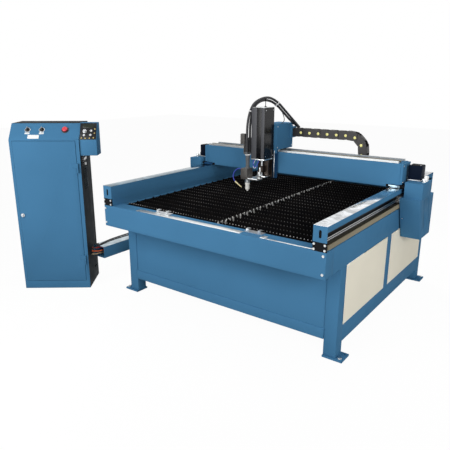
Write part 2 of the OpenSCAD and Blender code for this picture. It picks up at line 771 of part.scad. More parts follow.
chain_arm_z = y_chain_z + 2 * chain_r + chain_h + chain_gap;
module side_box_right() color(blue) right() side_box();

// Bearing blocks wrap the side rails and bolt to the side boxes
block_u = [rail_u[0] + 4, guard_w + box_gap];
block_from_gear = [-120, 50];
module rail_bearings() color(steel) both_sides() for (y = block_from_gear)
    translate([-guard_w, gear_y + y, 0]) difference() {
        span(block_u, [0, block_l], [rail_mid - block_h / 2, rail_mid + block_h / 2]);
        span([block_u[0] - eps, rail_u[1] + slide_clear], [-eps, block_l + eps],
            [rail_mid - rail_w / 2 - slide_clear, rail_mid + rail_w / 2 + slide_clear]);
    }

module gantry_motors() color(black) both_sides() translate([gear_x, gear_y, box_top + drive_h]) {
    translate([-motor_s / 2, -motor_s / 2, 0]) cube([motor_s, motor_s, motor_h]);
}

// A drive gear on its vertical shaft, below the motor
module drive_gear() translate([gear_x, gear_y, 0]) {
    translate([0, 0, rack_z[0] + 2]) linear_extrude(rack_h - 4) gear_teeth(gear_m, gear_n);
    translate([0, 0, rack_z[0] + rack_h / 2])
        cylinder(r = shaft_r, h = box_top + drive_h - chain_gap - rack_z[0] - rack_h / 2);
}
module drive_gear_left() color(steel) left() drive_gear();
module drive_gear_right() color(steel) right() drive_gear();

beam_rail_x = [gantry_x + 20, table_w - gantry_x - 20];
module beam_rails() color(steel) for (y = rail_line)
    span(beam_rail_x, [y - beam_rail_w / 2, y + beam_rail_w / 2], [gantry_top, gantry_top + beam_rail_h]);
module beam_rack() color(rust) {
    ded = 1.05 * pinion_m;
    span(beam_rail_x, [rack_line, rack_line + rack_body - ded - eps],
        [gantry_top, gantry_top + beam_rail_h]);
    translate([carriage_x, rack_line + rack_body - ded, gantry_top]) linear_extrude(beam_rail_h)
        rack_teeth(pinion_m, beam_rail_x[0] - carriage_x, beam_rail_x[1] - carriage_x);
}
tray_x = [chain_xf - 20, table_w - gantry_x];
tray_w = chain_y + chain_w + 6;
module chain_tray() color(blue) {
    span(tray_x, [gantry_rear, gantry_rear + 4], [gantry_z + 6, tray_z + 40]);
    span(tray_x, [gantry_rear + 4, tray_w], [tray_z - 4, tray_z]);
    span(tray_x, [tray_w - 4, tray_w], [tray_z, tray_z + 26]);
}
module beam_chain() color(black) translate([chain_x0, chain_y, tray_z + chain_gap])
    chain_loop(chain_x1 - chain_x0, chain_x1 - chain_xf, chain_h, chain_w, chain_r);
module trough_chain() color(black) translate([y_chain_x + chain_w, y_chain_0, y_chain_z]) rotate(90)
    chain_loop(y_chain_1 - y_chain_0, y_chain_1 - y_chain_f, chain_h, chain_w, chain_r);

// Torch carriage

module carriage_plate() color(steel) difference() {
    union() {
        span([hood_x[0] + hood_t, hood_x[1] - hood_t], [plate_y, hood_y[1] - hood_t],
            [plate_z, plate_z + plate_t]);
        span([hood_x[0] + hood_t, hood_x[1] - hood_t], [plate_y, plate_y + plate_t],
            [gantry_top - 6, plate_z]);
        span(plate_low, [plate_y, plate_y + plate_t], [z_base_z[0] - 8, gantry_top - 6]);
        span([z_mid - 36, z_mid + 36], [cover_y[1], plate_y], [z_base_z[0] + 10, gantry_top - 6]);
    }
    translate([carriage_x, pinion_y, plate_z - eps])
        cylinder(r = pinion_shaft + turn_clear, h = plate_t + 2 * eps);
}
car_block = [52, 34];
car_block_xs = [hood_x[0] + hood_t + 4, hood_x[1] - hood_t - 4 - car_block[0]];
module carriage_bearings() color(steel) for (y = rail_line) for (x = car_block_xs) difference() {
    span([x, x + car_block[0]], [y - car_block[1] / 2, y + car_block[1] / 2], [gantry_top + 4, plate_z]);
    span([x - eps, x + car_block[0] + eps],
        [y - beam_rail_w / 2 - slide_clear, y + beam_rail_w / 2 + slide_clear],
        [gantry_top, gantry_top + beam_rail_h + slide_clear]);
}
module carriage_hood() color(blue) {
    difference() {
        span(hood_x, hood_y, hood_z);
        span([hood_x[0] + hood_t, hood_x[1] - hood_t], [hood_y[0] + hood_t, hood_y[1] - hood_t],
            [hood_z[0] - eps, hood_z[1] - hood_t]);
    }
    // Bracket that carries the moving end of the beam's chain
    span([hood_x[1], chain_x0], [chain_y - 20, chain_y + chain_w],
        [tray_z + 2 * chain_r - 10, tray_z + 2 * chain_r + chain_h + 10]);
}
car_motor = 57;
car_motor_h = 76;
module carriage_motor() color(black)
    translate([carriage_x - car_motor / 2, pinion_y - car_motor / 2, plate_z + plate_t])
        cube([car_motor, car_motor, car_motor_h]);
module carriage_pinion() color(steel) translate([carriage_x, pinion_y, 0]) {
    translate([0, 0, gantry_top + 2]) linear_extrude(beam_rail_h - 2) rotate(90)
        gear_teeth(pinion_m, pinion_n);
    translate([0, 0, gantry_top + beam_rail_h])
        cylinder(r = pinion_shaft, h = plate_z + plate_t - chain_gap - gantry_top - beam_rail_h);
}

// Height slide

module height_cover() color(black) difference() {
    span(cover_x, cover_y, cover_z);
    span([cover_x[0] + cover_t, cover_x[1] - cover_t], [cover_y[0] + cover_t, cover_y[1] + eps],
        [cover_z[0] - eps, cover_z[1] - cover_t]);
}
base_x = [cover_x[0] + cover_t, cover_x[1] - cover_t];
base_y = [cover_y[1] - z_base_t, cover_y[1]];
guide_y = [base_y[0] - guide_w, base_y[0]];
bearing_h = 14;
bearing_w = 26;
nut_half = 20;
module height_guides() color(steel) {
    span(base_x, base_y, z_base_z);
    for (x = [z_mid - guide_half, z_mid + guide_half])
        span([x - guide_w / 2, x + guide_w / 2], guide_y, [z_base_z[0], cover_z[1] - 130]);
    difference() {
        span(about(z_mid, bearing_w), [screw_y - nut_half, base_y[0]],
            [z_base_z[0], z_base_z[0] + bearing_h]);
        translate([z_mid, screw_y, z_base_z[0] - eps])
            cylinder(r = screw_r + turn_clear, h = bearing_h + 2 * eps);
    }
}
shelf_z = [cover_z[1] - 112, cover_z[1] - 104];
module height_motor() color(black) {
    translate([z_mid - car_motor / 2, screw_y - car_motor / 2, shelf_z[1]])
        cube([car_motor, car_motor, car_motor_h]);
    difference() {
        span([z_mid - 42, z_mid + 42], [screw_y - 34, base_y[0]], shelf_z);
        translate([z_mid, screw_y, shelf_z[0] - eps])
            cylinder(r = screw_r + turn_clear, h = shelf_z[1] - shelf_z[0] + 2 * eps);
    }
}
screw_z = [z_base_z[0] + 2, shelf_z[1] - chain_gap];
module height_screw() color(steel) {
    translate([z_mid, screw_y, screw_z[0]]) cylinder(r = screw_r, h = screw_z[1] - screw_z[0]);
    translate([z_mid, screw_y, shelf_z[0] - 26]) cylinder(r = 2 * screw_r, h = 24, $fn = 6);
}
nut_z = [slide_z[0] + 50, slide_z[0] + 100];
foot_gap = 26 + chain_gap;
module height_slide() color(dark) difference() {
    union() {
        span(about(z_mid, slide_w), [slide_y, slide_y + slide_t], [slide_z[0] + foot_gap, slide_z[1]]);
        for (x = [z_mid - guide_half, z_mid + guide_half]) for (z = [slide_z[0] + 20, slide_z[1] - 60])
            span([x - 14, x + 14], [slide_y + slide_t, base_y[0] - 1], [z, z + 56]);
        span(about(z_mid, 2 * nut_half), [screw_y - nut_half, slide_y], nut_z);
    }
    for (x = [z_mid - guide_half, z_mid + guide_half])
        span([x - guide_w / 2 - slide_clear, x + guide_w / 2 + slide_clear],
            [guide_y[0] - slide_clear, base_y[0]], [slide_z[0] - eps, slide_z[1] + eps]);
    translate([z_mid, screw_y, nut_z[0] - eps])
        cylinder(r = screw_r + turn_clear, h = nut_z[1] - nut_z[0] + 2 * eps);
}

// Torch and what rides with it

arm_wall = 17;
arm_x = [torch_x - torch_r - arm_wall, z_mid + 30];
arm_y = [torch_y - torch_r - arm_wall, slide_y];
arm_tail_x = [z_mid - slide_w / 2, z_mid - 19];
module torch_arm() color(steel) difference() {
    union() {
        span(arm_x, [arm_y[0], torch_y + torch_r + arm_wall], arm_z);
        span(arm_tail_x, [torch_y + torch_r + arm_wall, arm_y[1]], arm_z);
        span(arm_tail_x, [arm_y[1] - 12, arm_y[1]], [arm_z[1], nut_z[0] - 2]);
        span([arm_x[0], torch_x + torch_r], [arm_y[0], torch_y + torch_r + arm_wall], [arm_z[1], collar_top]);
    }
    translate([torch_x, torch_y, arm_z[0] - eps])
        cylinder(r = torch_r + turn_clear, h = collar_top - arm_z[0] + 2 * eps);
}
head_l = 60;
module torch_body() color([0.5, 0.5, 0.5]) {
    translate([torch_x, torch_y, cup_top]) cylinder(r = torch_r, h = torch_l - head_l);
    translate([torch_x, torch_y, torch_top - head_l]) cylinder(r = torch_r - 3, h = head_l - 14);
    span([torch_x - 16, torch_x + 16], [torch_y - 32, torch_y + 44], [torch_top - 14, torch_top]);
}
module torch_nozzle() color([0.9, 0.9, 0.88]) translate([torch_x, torch_y, 0]) rotate_extrude()
    polygon([[0, tip_z], [5, tip_z], [7, tip_z + 10], [torch_r - 3, tip_z + 18], [torch_r - 1, cup_top],
        [0, cup_top]]);
// Ribbed sensor box on a stay beside the torch's head
sensor_x = [torch_x - 58, torch_x - 22];
sensor_z = [torch_top + 56, torch_top + 136];
stay_t = 8;
module torch_sensor() color([0.35, 0.36, 0.38]) {
    span(sensor_x, [torch_y - 15, torch_y + 15], sensor_z);
    for (z = [sensor_z[0] + 6:12:sensor_z[1] - 8])
        span([sensor_x[0] - 3, sensor_x[0]], [torch_y - 15, torch_y + 15], [z, z + 6]);
    span([sensor_x[1] - stay_t, torch_x - 16], [torch_y - 15, torch_y + 15],
        [torch_top - 14, torch_top - 8]);
    span([sensor_x[1] - stay_t, sensor_x[1]], [torch_y - 15, torch_y + 15], [torch_top - 8, sensor_z[0]]);
}
hose_ref = [0.82, -0.57, 0];
module torch_hoses() color(black) for (p = [hose_a, hose_b])
    tube(smooth(p, 2), hose_r, 10, hose_ref);
module sensing_wire() color([0.2, 0.25, 0.7]) {
    tube(smooth(wire_path, 3), wire_r, 8, [0, 1, 0]);
    color([0.9, 0.8, 0.5]) tube(wire_tip, wire_r + 2, 8, [0, 1, 0]);
}

// Control cabinet, in its own axes: X to the right with zero at the right side, Y back, Z up

module cab() translate([cab_x, cab_y, 0]) rotate(cab_turn) children();
module on_slope(x, s) translate([x, 0, slope_z]) rotate([slope_tilt, 0, 0])
    translate([0, s, 0]) children();
module on_operator(x, s) translate([x, op_y[0], op_slope_z]) rotate([op_tilt, 0, 0])
    translate([0, s, 0]) children();
module cab_block(x, t) translate([x[0], 0, 0]) rotate([90, 0, 90]) linear_extrude(x[1] - x[0])
    polygon([[t, t], [cab_d - t, t], [cab_d - t, cab_h - t],
        [slope_d + t / 2, cab_h - t], [t, slope_z - t / 2]]);
louvre_n = 10;
louvre_y = [70, 160];
louvre_z = 773;
louvre_step = 16;
louvre_h = 6;
pull_slot = [50, 16];
module cabinet_shell() color(blue) cab() {
    difference() {
        cab_block([-cab_w, 0], 0);
        cab_block([-cab_w + cab_t, -cab_t], cab_t);
        span([door_x[0] - door_gap, door_x[1] + door_gap], [-eps, cab_t + eps],
            [door_z[0] - door_gap, door_z[1] + door_gap]);
        for (x = knob_xs) on_slope(x, knob_s) translate([0, 0, -2 * cab_t])
            cylinder(r = knob_shaft + turn_clear, h = 3 * cab_t);
        on_slope(stop_x, knob_s) translate([0, 0, -2 * cab_t])
            cylinder(r = stop_shaft + turn_clear, h = 3 * cab_t);
        for (k = [0:louvre_n - 1])
            span([-cab_t - eps, eps], louvre_y, about(louvre_z + louvre_step * k, louvre_h));
        for (k = [0:2]) translate([-cab_t - eps, cable_ys[k], cable_zs[k]]) rotate([0, 90, 0])
            cylinder(r = cable_r + slot_clear, h = cab_t + 2 * eps);
        span([-cab_t - eps, eps], about(cab_d - 85, pull_slot[0]), about(104, pull_slot[1]));
    }
    // Keeper behind the door's left edge
    span([-cab_w + cab_t - eps, door_x[0] - 2 * door_gap], [cab_t - eps, door_back],
        [latch_z - 20, latch_z + 20]);
    // Fixed halves of the hinges, each with its pin
    for (z = hinge_zs) {
        span([hinge_x, -6], [-3, 0], [z, z + hinge_l]);
        translate([hinge_x, hinge_y, z]) {
            cylinder(r = hinge_r, h = hinge_l);
            translate([0, 0, hinge_l - eps]) cylinder(r = hinge_pin, h = hinge_l - 4);
        }
        span([hinge_x - 2, hinge_x + 4], [hinge_y, 0], [z, z + hinge_l]);
    }
}
module cabinet_door() color(blue) cab() {
    difference() {
        span(door_x, [-door_skin, door_back], door_z);
        span([door_x[0] + door_skin, door_x[1] - door_skin], [0, door_d],
            [door_z[0] + door_skin, door_z[1] - door_skin]);
        translate([latch_x, eps, latch_z]) rotate([90, 0, 0])
            cylinder(r = latch_r + turn_clear, h = door_skin + 2 * eps);
    }
    for (z = hinge_zs) translate([0, 0, z + hinge_l + chain_gap]) {
        span([door_x[1] - 34, hinge_x - hinge_r + 1], [-6, -3], [0, hinge_l]);
        difference() {
            union() {
                translate([hinge_x, hinge_y, 0]) cylinder(r = hinge_r, h = hinge_l);
                span([hinge_x - hinge_r, hinge_x - 3.5], [hinge_y, -3], [0, hinge_l]);
            }
            translate([hinge_x, hinge_y, -eps]) cylinder(r = hinge_pin + turn_clear, h = hinge_l + 2 * eps);
        }
    }
}
// A knob in front of the door, and a cam behind it that turns over the shell's keeper
module door_latch() color(steel) cab() translate([latch_x, 0, latch_z]) {
    translate([0, -door_skin - chain_gap, 0]) rotate([90, 0, 0]) cylinder(r = 14, h = 6);
    translate([-4, -door_skin - chain_gap - 14, -13]) cube([8, 8 + eps, 26]);
    translate([0, cam_y[1], 0]) rotate([90, 0, 0])
        cylinder(r = latch_r, h = cam_y[1] + door_skin + 2 * chain_gap);
    translate([-cam_w / 2, cam_y[0], -cam_w / 2])
        cube([cam_w, cam_y[1] - cam_y[0], cam_l + cam_w / 2]);
}
module selector(x) cab() on_slope(x, knob_s) {
    translate([0, 0, chain_gap]) cylinder(r = 17, h = 6);
    translate([-5, -16, 6]) cube([10, 32, 14]);
    translate([0, 0, -14]) cylinder(r = knob_shaft, h = 15);
}
module selector_left() color(black) selector(knob_xs[0]);
module selector_right() color(black) selector(knob_xs[1]);
module stop_button() color([0.75, 0.1, 0.08]) cab() on_slope(stop_x, knob_s) {
    translate([0, 0, stop_travel + 1]) cylinder(r = 20, h = 12);
    translate([0, 0, -16]) cylinder(r = stop_shaft, h = 18 + stop_travel);
}
// Side-mounted operator box with a sloped face
function op_outline(t) = [[op_y[0] + t, op_z[0] + t], [op_y[1] - t, op_z[0] + t], [op_y[1] - t, op_z[1] - t],
    [op_slope_y + t / 2, op_z[1] - t], [op_y[0] + t, op_slope_z - t / 2]];
op_dial_x = 38;
op_dial_s = 0.5 * op_s;
module operator_box() color(blue) cab() difference() {
    rotate([90, 0, 90]) linear_extrude(op_x) polygon(op_outline(0));
    translate([-eps, 0, 0]) rotate([90, 0, 90]) linear_extrude(op_x - cab_t) polygon(op_outline(cab_t));
    on_operator(op_dial_x, op_dial_s) translate([0, 0, -2 * cab_t])
        cylinder(r = dial_shaft + turn_clear, h = 3 * cab_t);
}
module operator_dial() color(steel) cab() on_operator(op_dial_x, op_dial_s) {
    translate([0, 0, chain_gap]) cylinder(r = 14, h = 14);
    translate([0, 0, -14]) cylinder(r = dial_shaft, h = 15);
}
// Mounting plate with drives and a power supply inside the cabinet
inner_plate_in = 40;
inner_plate_t = 6;
inner_plate_z = [90, slope_z - 90];
unit_in = inner_plate_in + 30;
drive_units = 4;
drive_pitch = 92;
drive_unit = [70, 110, 200];
drive_unit_z = slope_z - 340;
supply = [220, 100, 220];
supply_z = 420;
terminals = [60, 80];
terminals_z = 240;
module cabinet_electronics() color(steel) cab() {
    back = cab_d - cab_t - inner_plate_t;
    left = -cab_w + unit_in;
    span([-cab_w + inner_plate_in, -inner_plate_in], [back, back + inner_plate_t], inner_plate_z);
    for (k = [0:drive_units - 1]) translate([left + drive_pitch * k, back - drive_unit[1], drive_unit_z])
        cube(drive_unit);
    translate([left, back - supply[1], supply_z]) cube(supply);
    span([left, -2 * inner_plate_in], [back - terminals[0], back], [terminals_z, terminals_z + terminals[1]]);
}
// Glands in the cabinet's side, and the cables from them into the trough's open end
// A cable leaves its gland straight, bends round to the trough's line and sinks to the trough's floor
function heading(a) = [cos(a), sin(a), 0];
function to_trough(k) = let (
    gland = [cab_x, cab_y, cable_zs[k]] + cable_ys[k] * heading(cab_turn + 90),
    start = gland + cable_leads[k] * heading(cab_turn),
    centre = start + cable_bend * heading(cab_turn + 90),
    last = centre + cable_bend * heading(0),
    fall = cable_zs[k] - trough_z - trough_t - chain_gap - cable_r)
    concat([gland - 12 * heading(cab_turn), gland],
        [for (i = [0:5]) centre + cable_bend * heading(cab_turn - 90 + (90 - cab_turn) * i / 6)],
        [for (i = [0:12]) last + [0, cable_fall * i / 12, -fall * (1 - cos(15 * i)) / 2]],
        [last + [0, cable_fall + 20, -fall]]);
module cabinet_cables() color([0.75, 0.6, 0.4]) for (k = [0:2])
    tube(to_trough(k), cable_r, 12, [0, 0, 1]);

placed() front_beam();
placed() rear_beam();
placed() side_frames();
placed() legs();
placed() foot_plates();
placed() table_bolts();
placed() end_panels();
placed() access_panels();
placed() slag_tray();
placed() slat_combs();
placed() slat_divider();
placed() slats();
placed() slat_clips();
placed() rail_guard_left();
placed() rail_guard_right();
placed() guard_brackets();
placed() linear_rails();
placed() gear_racks();
placed() cable_trough();
placed() trough_stands();
placed() gantry_beam();
placed() gantry_saddles();
placed() drive_boxes();
placed() side_box_left();
placed() side_box_right();
placed() rail_bearings();
placed() gantry_motors();
placed() drive_gear_left();
placed() drive_gear_right();
placed() beam_rails();
placed() beam_rack();
placed() chain_tray();
placed() beam_chain();
placed() trough_chain();
placed() carriage_plate();
placed() carriage_bearings();
placed() carriage_hood();
placed() carriage_motor();
placed() carriage_pinion();
placed() height_cover();
placed() height_guides();
placed() height_motor();
placed() height_screw();
placed() height_slide();
placed() torch_arm();
placed() torch_body();
placed() torch_nozzle();
placed() torch_sensor();
placed() torch_hoses();
placed() sensing_wire();
placed() cabinet_shell();
placed() cabinet_door();
placed() door_latch();
placed() selector_left();
placed() selector_right();
placed() stop_button();
placed() operator_box();
placed() operator_dial();
placed() cabinet_electronics();
placed() cabinet_cables();
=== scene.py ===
"""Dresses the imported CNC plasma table: paint, metals, drag chains, hoses, torch and controls."""

import json
import math
from contextlib import contextmanager
from itertools import product

import bmesh
import bpy
from bpy.props import FloatProperty, FloatVectorProperty, IntProperty, PointerProperty
from mathutils import Matrix, Vector


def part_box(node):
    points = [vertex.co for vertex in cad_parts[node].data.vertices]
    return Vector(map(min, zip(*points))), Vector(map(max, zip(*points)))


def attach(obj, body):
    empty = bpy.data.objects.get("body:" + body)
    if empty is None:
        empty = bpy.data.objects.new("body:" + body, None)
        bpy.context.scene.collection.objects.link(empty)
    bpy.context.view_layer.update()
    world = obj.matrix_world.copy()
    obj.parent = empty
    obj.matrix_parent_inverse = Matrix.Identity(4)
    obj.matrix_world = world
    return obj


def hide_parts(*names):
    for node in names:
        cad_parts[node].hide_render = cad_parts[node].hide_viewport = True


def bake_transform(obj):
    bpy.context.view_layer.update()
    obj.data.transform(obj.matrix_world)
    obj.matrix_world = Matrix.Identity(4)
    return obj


bl_info = {
    "name": "Plasma table dresser",
    "version": (1, 0, 0),
    "blender": (4, 5, 0),
    "location": "3D View > Sidebar > Plasma table",
    "description": "Builds the looks of a CNC plasma table around its packed frame",
    "category": "Object",
}

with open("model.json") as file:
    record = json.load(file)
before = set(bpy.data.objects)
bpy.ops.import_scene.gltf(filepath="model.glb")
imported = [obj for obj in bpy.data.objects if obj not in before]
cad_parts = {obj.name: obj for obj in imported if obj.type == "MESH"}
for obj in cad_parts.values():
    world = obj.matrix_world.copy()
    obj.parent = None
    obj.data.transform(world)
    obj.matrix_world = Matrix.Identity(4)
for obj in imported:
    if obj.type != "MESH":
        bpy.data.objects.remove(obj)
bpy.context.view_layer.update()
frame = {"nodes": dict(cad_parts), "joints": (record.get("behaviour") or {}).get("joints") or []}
MM = 0.001

# The table's own axes start at the apron's front left corner, on the floor
TABLE_CORNER = Vector((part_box("front_beam")[0].x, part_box("front_beam")[0].y, 0.0))
TABLE_WIDTH = 1700
SLAT_PITCH = 80
# The torch's axis at rest
TORCH_AT = (574, 940)
# The cabinet's own axes start at its front right corner and turn with it
CABINET_CORNER = (-276, 35, 0)
CABINET_TURN = math.radians(38)
# Depth behind the cabinet's front within which the sloped panel ends
FRONT_DEPTH = 115
# The least that a face looks forward, as a cosine, to take the front's paint
FRONT_FACING = 0.4
# Sloped faces: depth and level of the lower edge in the cabinet's axes, then the rise and its run
PANEL = (0, 1147, 108, 93)
OPERATOR = (10, 1142, 118, 65)
# Edges that turn by less than this are shaded smooth
SMOOTH_TURN = math.radians(35)
# A fold turns at least this much; in its own radii, it is this long and the faces beside it are this wide
FOLD_TURN = math.radians(40)
FOLD_LENGTH = 10
FOLD_FACE = 2.4


def place(x, y, z):
    """A point given in the table's own millimetres, in the row frame."""
    return TABLE_CORNER + Vector((x, y, z)) * MM


def shift(x, y, z):
    """A move in millimetres as a matrix."""
    return Matrix.Translation(Vector((x, y, z)) * MM)


def row(start, step, count):
    """Evenly spaced places along one axis."""
    return [start + step * i for i in range(count)]


CABINET = Matrix.Translation(place(*CABINET_CORNER)) @ Matrix.Rotation(CABINET_TURN, 4, "Z")


# Colours, materials and their nodes; a helper that takes a socket adds to that socket's tree


def linear(colour):
    """A colour as linear RGBA: an sRGB hex value, or a setting, which is linear already."""
    if not isinstance(colour, str):
        return list(colour)
    channels = [int(colour[i:i + 2], 16) / 255 for i in (1, 3, 5)]
    return [c / 12.92 if c <= 0.04045 else ((c + 0.055) / 1.055) ** 2.4 for c in channels] + [1.0]


def shade(colour, share):
    """A colour made lighter or darker by a share."""
    return [min(1.0, c * share) for c in linear(colour)[:3]] + [1.0]


def per_mm(size):
    """The scale of a pattern whose features are about this many millimetres wide."""
    return 1.0 / (size * MM)


def add_node(tree, kind, inputs=None, **settings):
    """Adds a node; inputs maps a socket to a value or to the socket that feeds it."""
    made = tree.nodes.new(kind)
    for key, value in settings.items():
        setattr(made, key, value)
    for key, value in (inputs or {}).items():
        if isinstance(value, bpy.types.NodeSocket):
            tree.links.new(value, made.inputs[key])
        else:
            made.inputs[key].default_value = value
    return made


def noise(where, size, detail, **more):
    """Noise with features about this many millimetres wide."""
    inputs = {"Vector": where, "Scale": per_mm(size), "Detail": detail, **more}
    return add_node(where.id_data, "ShaderNodeTexNoise", inputs).outputs["Fac"]


def remap(value, low, high, start=0.0, stop=1.0):
    """A value that runs from start to stop, made to run from low to high."""
    inputs = {"Value": value, "From Min": start, "From Max": stop, "To Min": low, "To Max": high}
    return add_node(value.id_data, "ShaderNodeMapRange", inputs).outputs["Result"]


def mix(share, *colours):
    """A mix of two colours, each a value or a socket."""
    first, second = (c if isinstance(c, bpy.types.NodeSocket) else linear(c) for c in colours)
    inputs = {0: share, 6: first, 7: second}
    return add_node(share.id_data, "ShaderNodeMix", inputs, data_type="RGBA").outputs[2]


def maths(operation, first, second):
    """One sum on a socket and a value or socket."""
    inputs = {0: first, 1: second}
    return add_node(first.id_data, "ShaderNodeMath", inputs, operation=operation).outputs[0]


def relief(height, strength, depth):
    """A normal that follows a height, with its depth in metres."""
    inputs = {"Height": height, "Strength": strength, "Distance": depth}
    return add_node(height.id_data, "ShaderNodeBump", inputs).outputs["Normal"]


def empty_tree(owner):
    """The cleared node tree of a material or of the world."""
    owner.use_nodes = True
    owner.node_tree.nodes.clear()
    return owner.node_tree


def start_material(name):
    """An empty node material and its Object coordinates."""
    material = bpy.data.materials.new(name)
    return material, add_node(empty_tree(material), "ShaderNodeTexCoord").outputs["Object"]


def end_material(material, tone, rough, sockets):
    """Closes a material with its shader."""
    tree = material.node_tree
    shader = add_node(tree, "ShaderNodeBsdfPrincipled",
                      {"Base Color": tone, "Roughness": rough, **sockets})
    add_node(tree, "ShaderNodeOutputMaterial", {"Surface": shader.outputs["BSDF"]})
    return material


def cabinet_front(where):
    """One on the faces that look out of the cabinet's front, the sloped panel's too, and else nought."""
    tree = where.id_data

    def along(vector, way):
        inputs = {0: vector, 1: way}
        return add_node(tree, "ShaderNodeVectorMath", inputs, operation="DOT_PRODUCT").outputs["Value"]

    back = (CABINET.to_3x3() @ Vector((0, 1, 0))).normalized()
    limit = CABINET.translation.dot(back) + FRONT_DEPTH * MM
    normal = add_node(tree, "ShaderNodeTexCoord").outputs["Normal"]
    near = maths("LESS_THAN", along(where, back), limit)
    ahead = maths("GREATER_THAN", along(normal, -back), FRONT_FACING)
    return maths("MULTIPLY", near, ahead)


def powder_coat(name, colour, rough=0.62, body=None):
    """Powder-coated sheet steel: baked polyester, so a matt skin with a fine orange peel.

    The eye sees slow changes of tone across a panel and a faintly uneven sheen. The peel is
    about 2 mm wide on the real sheet and is drawn at 9 mm, to show at all. With a body colour,
    the first colour is only on the cabinet's front.
    """
    material, where = start_material(name)
    tone = mix(noise(where, 380, 5.0), shade(colour, 0.90), shade(colour, 1.10))
    if body:
        tone = mix(cabinet_front(where), body, tone)
    gloss = remap(noise(where, 60, 6.0), rough - 0.06, rough + 0.10, 0.3, 0.75)
    peel = relief(noise(where, 9, 2.0), 0.06, 0.0006)
    return end_material(material, tone, gloss, {"Normal": peel, "IOR": 1.5, "Specular IOR Level": 0.03})


def burnt_slat_steel(top, front):
    """Mild steel slats after cutting: black with soot, brown with rust, bright at the front slat's tips:
    partly worn bare steel, partly painted highlight where that near edge catches the light.
    """
    material, where = start_material("burnt_slat_steel")
    rust = noise(where, 45, 6.0, Roughness=0.7)
    body = mix(remap(rust, 0.0, 1.0, 0.42, 0.68), "#08080a", "#12100f")
    axes = add_node(where.id_data, "ShaderNodeSeparateXYZ", {"Vector": where}).outputs
    tip = remap(axes["Z"], 0.0, 0.95, top - 0.006, top - 0.001)
    near = remap(axes["Y"], 1.0, 0.22, front + 0.012, front + 0.016)
    patch = remap(noise(where, 300, 3.0), 0.25, 1.0, 0.38, 0.62)
    # Bright tips on the front slat only: worn steel with painted highlight on the near edge
    wear = maths("MULTIPLY", tip, maths("MULTIPLY", near, patch))
    return end_material(material, mix(wear, body, "#e2dfdc"), 0.8,
                        {"Specular IOR Level": 0.05, "Normal": relief(rust, 0.35, 0.001)})


def scorched_divider(pitch):
    """Bare steel divider: bright where sparks keep it clean, scorched dark at and between the slats."""
    material, where = start_material("scorched_divider_steel")
    depth = add_node(where.id_data, "ShaderNodeSeparateXYZ", {"Vector": where}).outputs["Y"]
    wave = maths("PINGPONG", maths("MULTIPLY", depth, per_mm(pitch)), 0.5)
    both = maths("ADD", wave, noise(where, 30, 4.0))
    tone = mix(remap(both, 0.0, 1.0, 0.72, 0.86), "#1c1b1b", "#cfcfcc")
    return end_material(material, tone, 0.5, {"Specular IOR Level": 0.3})


def zinc_plate(name="zinc_plated_steel", colour="#d3d6d8"):
    """Zinc-plated steel of screws, clips and brackets: pale, bright and a little cloudy."""
    material, where = start_material(name)
    cloud = noise(where, 14, 4.0)
    tone = mix(cloud, shade(colour, 0.85), colour)
    return end_material(material, tone, remap(cloud, 0.22, 0.40), {"Metallic": 1.0})


def ground_steel(name, colour, stretch):
    """Ground rail steel: fine grinding lines along the rail, too fine to show, drawn 3 mm wide."""
    material, where = start_material(name)
    lines = add_node(where.id_data, "ShaderNodeMapping", {"Vector": where, "Scale": stretch})
    grain = noise(lines.outputs["Vector"], 3, 3.0)
    tone = mix(grain, shade(colour, 0.72), colour)
    return end_material(material, tone, remap(grain, 0.24, 0.44),
                        {"Metallic": 0.9, "Normal": relief(grain, 0.08, 0.0003)})


def rolled_sheet(name, colour):
    """Bare rolled stainless strip: mirror-bright, but thin, so it waves and its reflections break up. It
    makes only bright pieces that are painted reflections: the sheets on the guards' and the trough's tops,
    and the right clamp block.
    """
    material, where = start_material(name)
    waves = noise(where, 90, 3.0, Distortion=0.8)
    tone = mix(remap(waves, 0.0, 1.0, 0.4, 0.62), shade(colour, 0.62), colour)
    return end_material(material, tone, 0.16,
                        {"Metallic": 1.0, "Normal": relief(waves, 0.5, 0.004)})


def lacquer(name, colour, rough=0.2):
    """Gloss lacquer on sheet metal: a deep smooth coat with a little dust on it."""
    material, where = start_material(name)
    dust = noise(where, 26, 7.0)
    tone = mix(remap(dust, 0.0, 0.1, 0.5, 0.9), colour, "#5b5a57")
    gloss = remap(dust, rough, rough + 0.16, 0.3, 0.8)
    return end_material(material, tone, gloss, {"IOR": 1.5, "Specular IOR Level": 0.2,
                                                "Coat Weight": 0.06, "Coat Roughness": 0.1})


def moulded_plastic(name, colour, rough=0.45, grit=2.5):
    """Moulded nylon or ABS: an even colour under a fine spark-eroded grain."""
    material, where = start_material(name)
    grain = noise(where, grit, 3.0)
    tone = mix(grain, shade(colour, 0.88), shade(colour, 1.12))
    return end_material(material, tone, remap(grain, rough - 0.08, rough + 0.1),
                        {"Normal": relief(grain, 0.12, 0.0003), "IOR": 1.49})


def machined_aluminium(name="machined_aluminium", colour="#c6c8ca"):
    """Milled aluminium plate: pale grey with faint cutter tracks about 4 mm apart."""
    material, where = start_material(name)
    inputs = {"Vector": where, "Scale": per_mm(4) / 6.3, "Distortion": 2.0, "Detail": 2.0}
    tracks = add_node(where.id_data, "ShaderNodeTexWave", inputs, wave_type="BANDS",
                      bands_direction="DIAGONAL").outputs["Fac"]
    tone = mix(tracks, shade(colour, 0.86), colour)
    return end_material(material, tone, remap(tracks, 0.28, 0.42), {"Metallic": 0.95})


def fired_ceramic():
    """Fired white ceramic of the shield cup: smooth, with faint heat stains."""
    material, where = start_material("fired_ceramic")
    tone = mix(noise(where, 18, 4.0), "#fdfcf9", "#f3efe6")
    return end_material(material, tone, 0.32, {"IOR": 1.6})


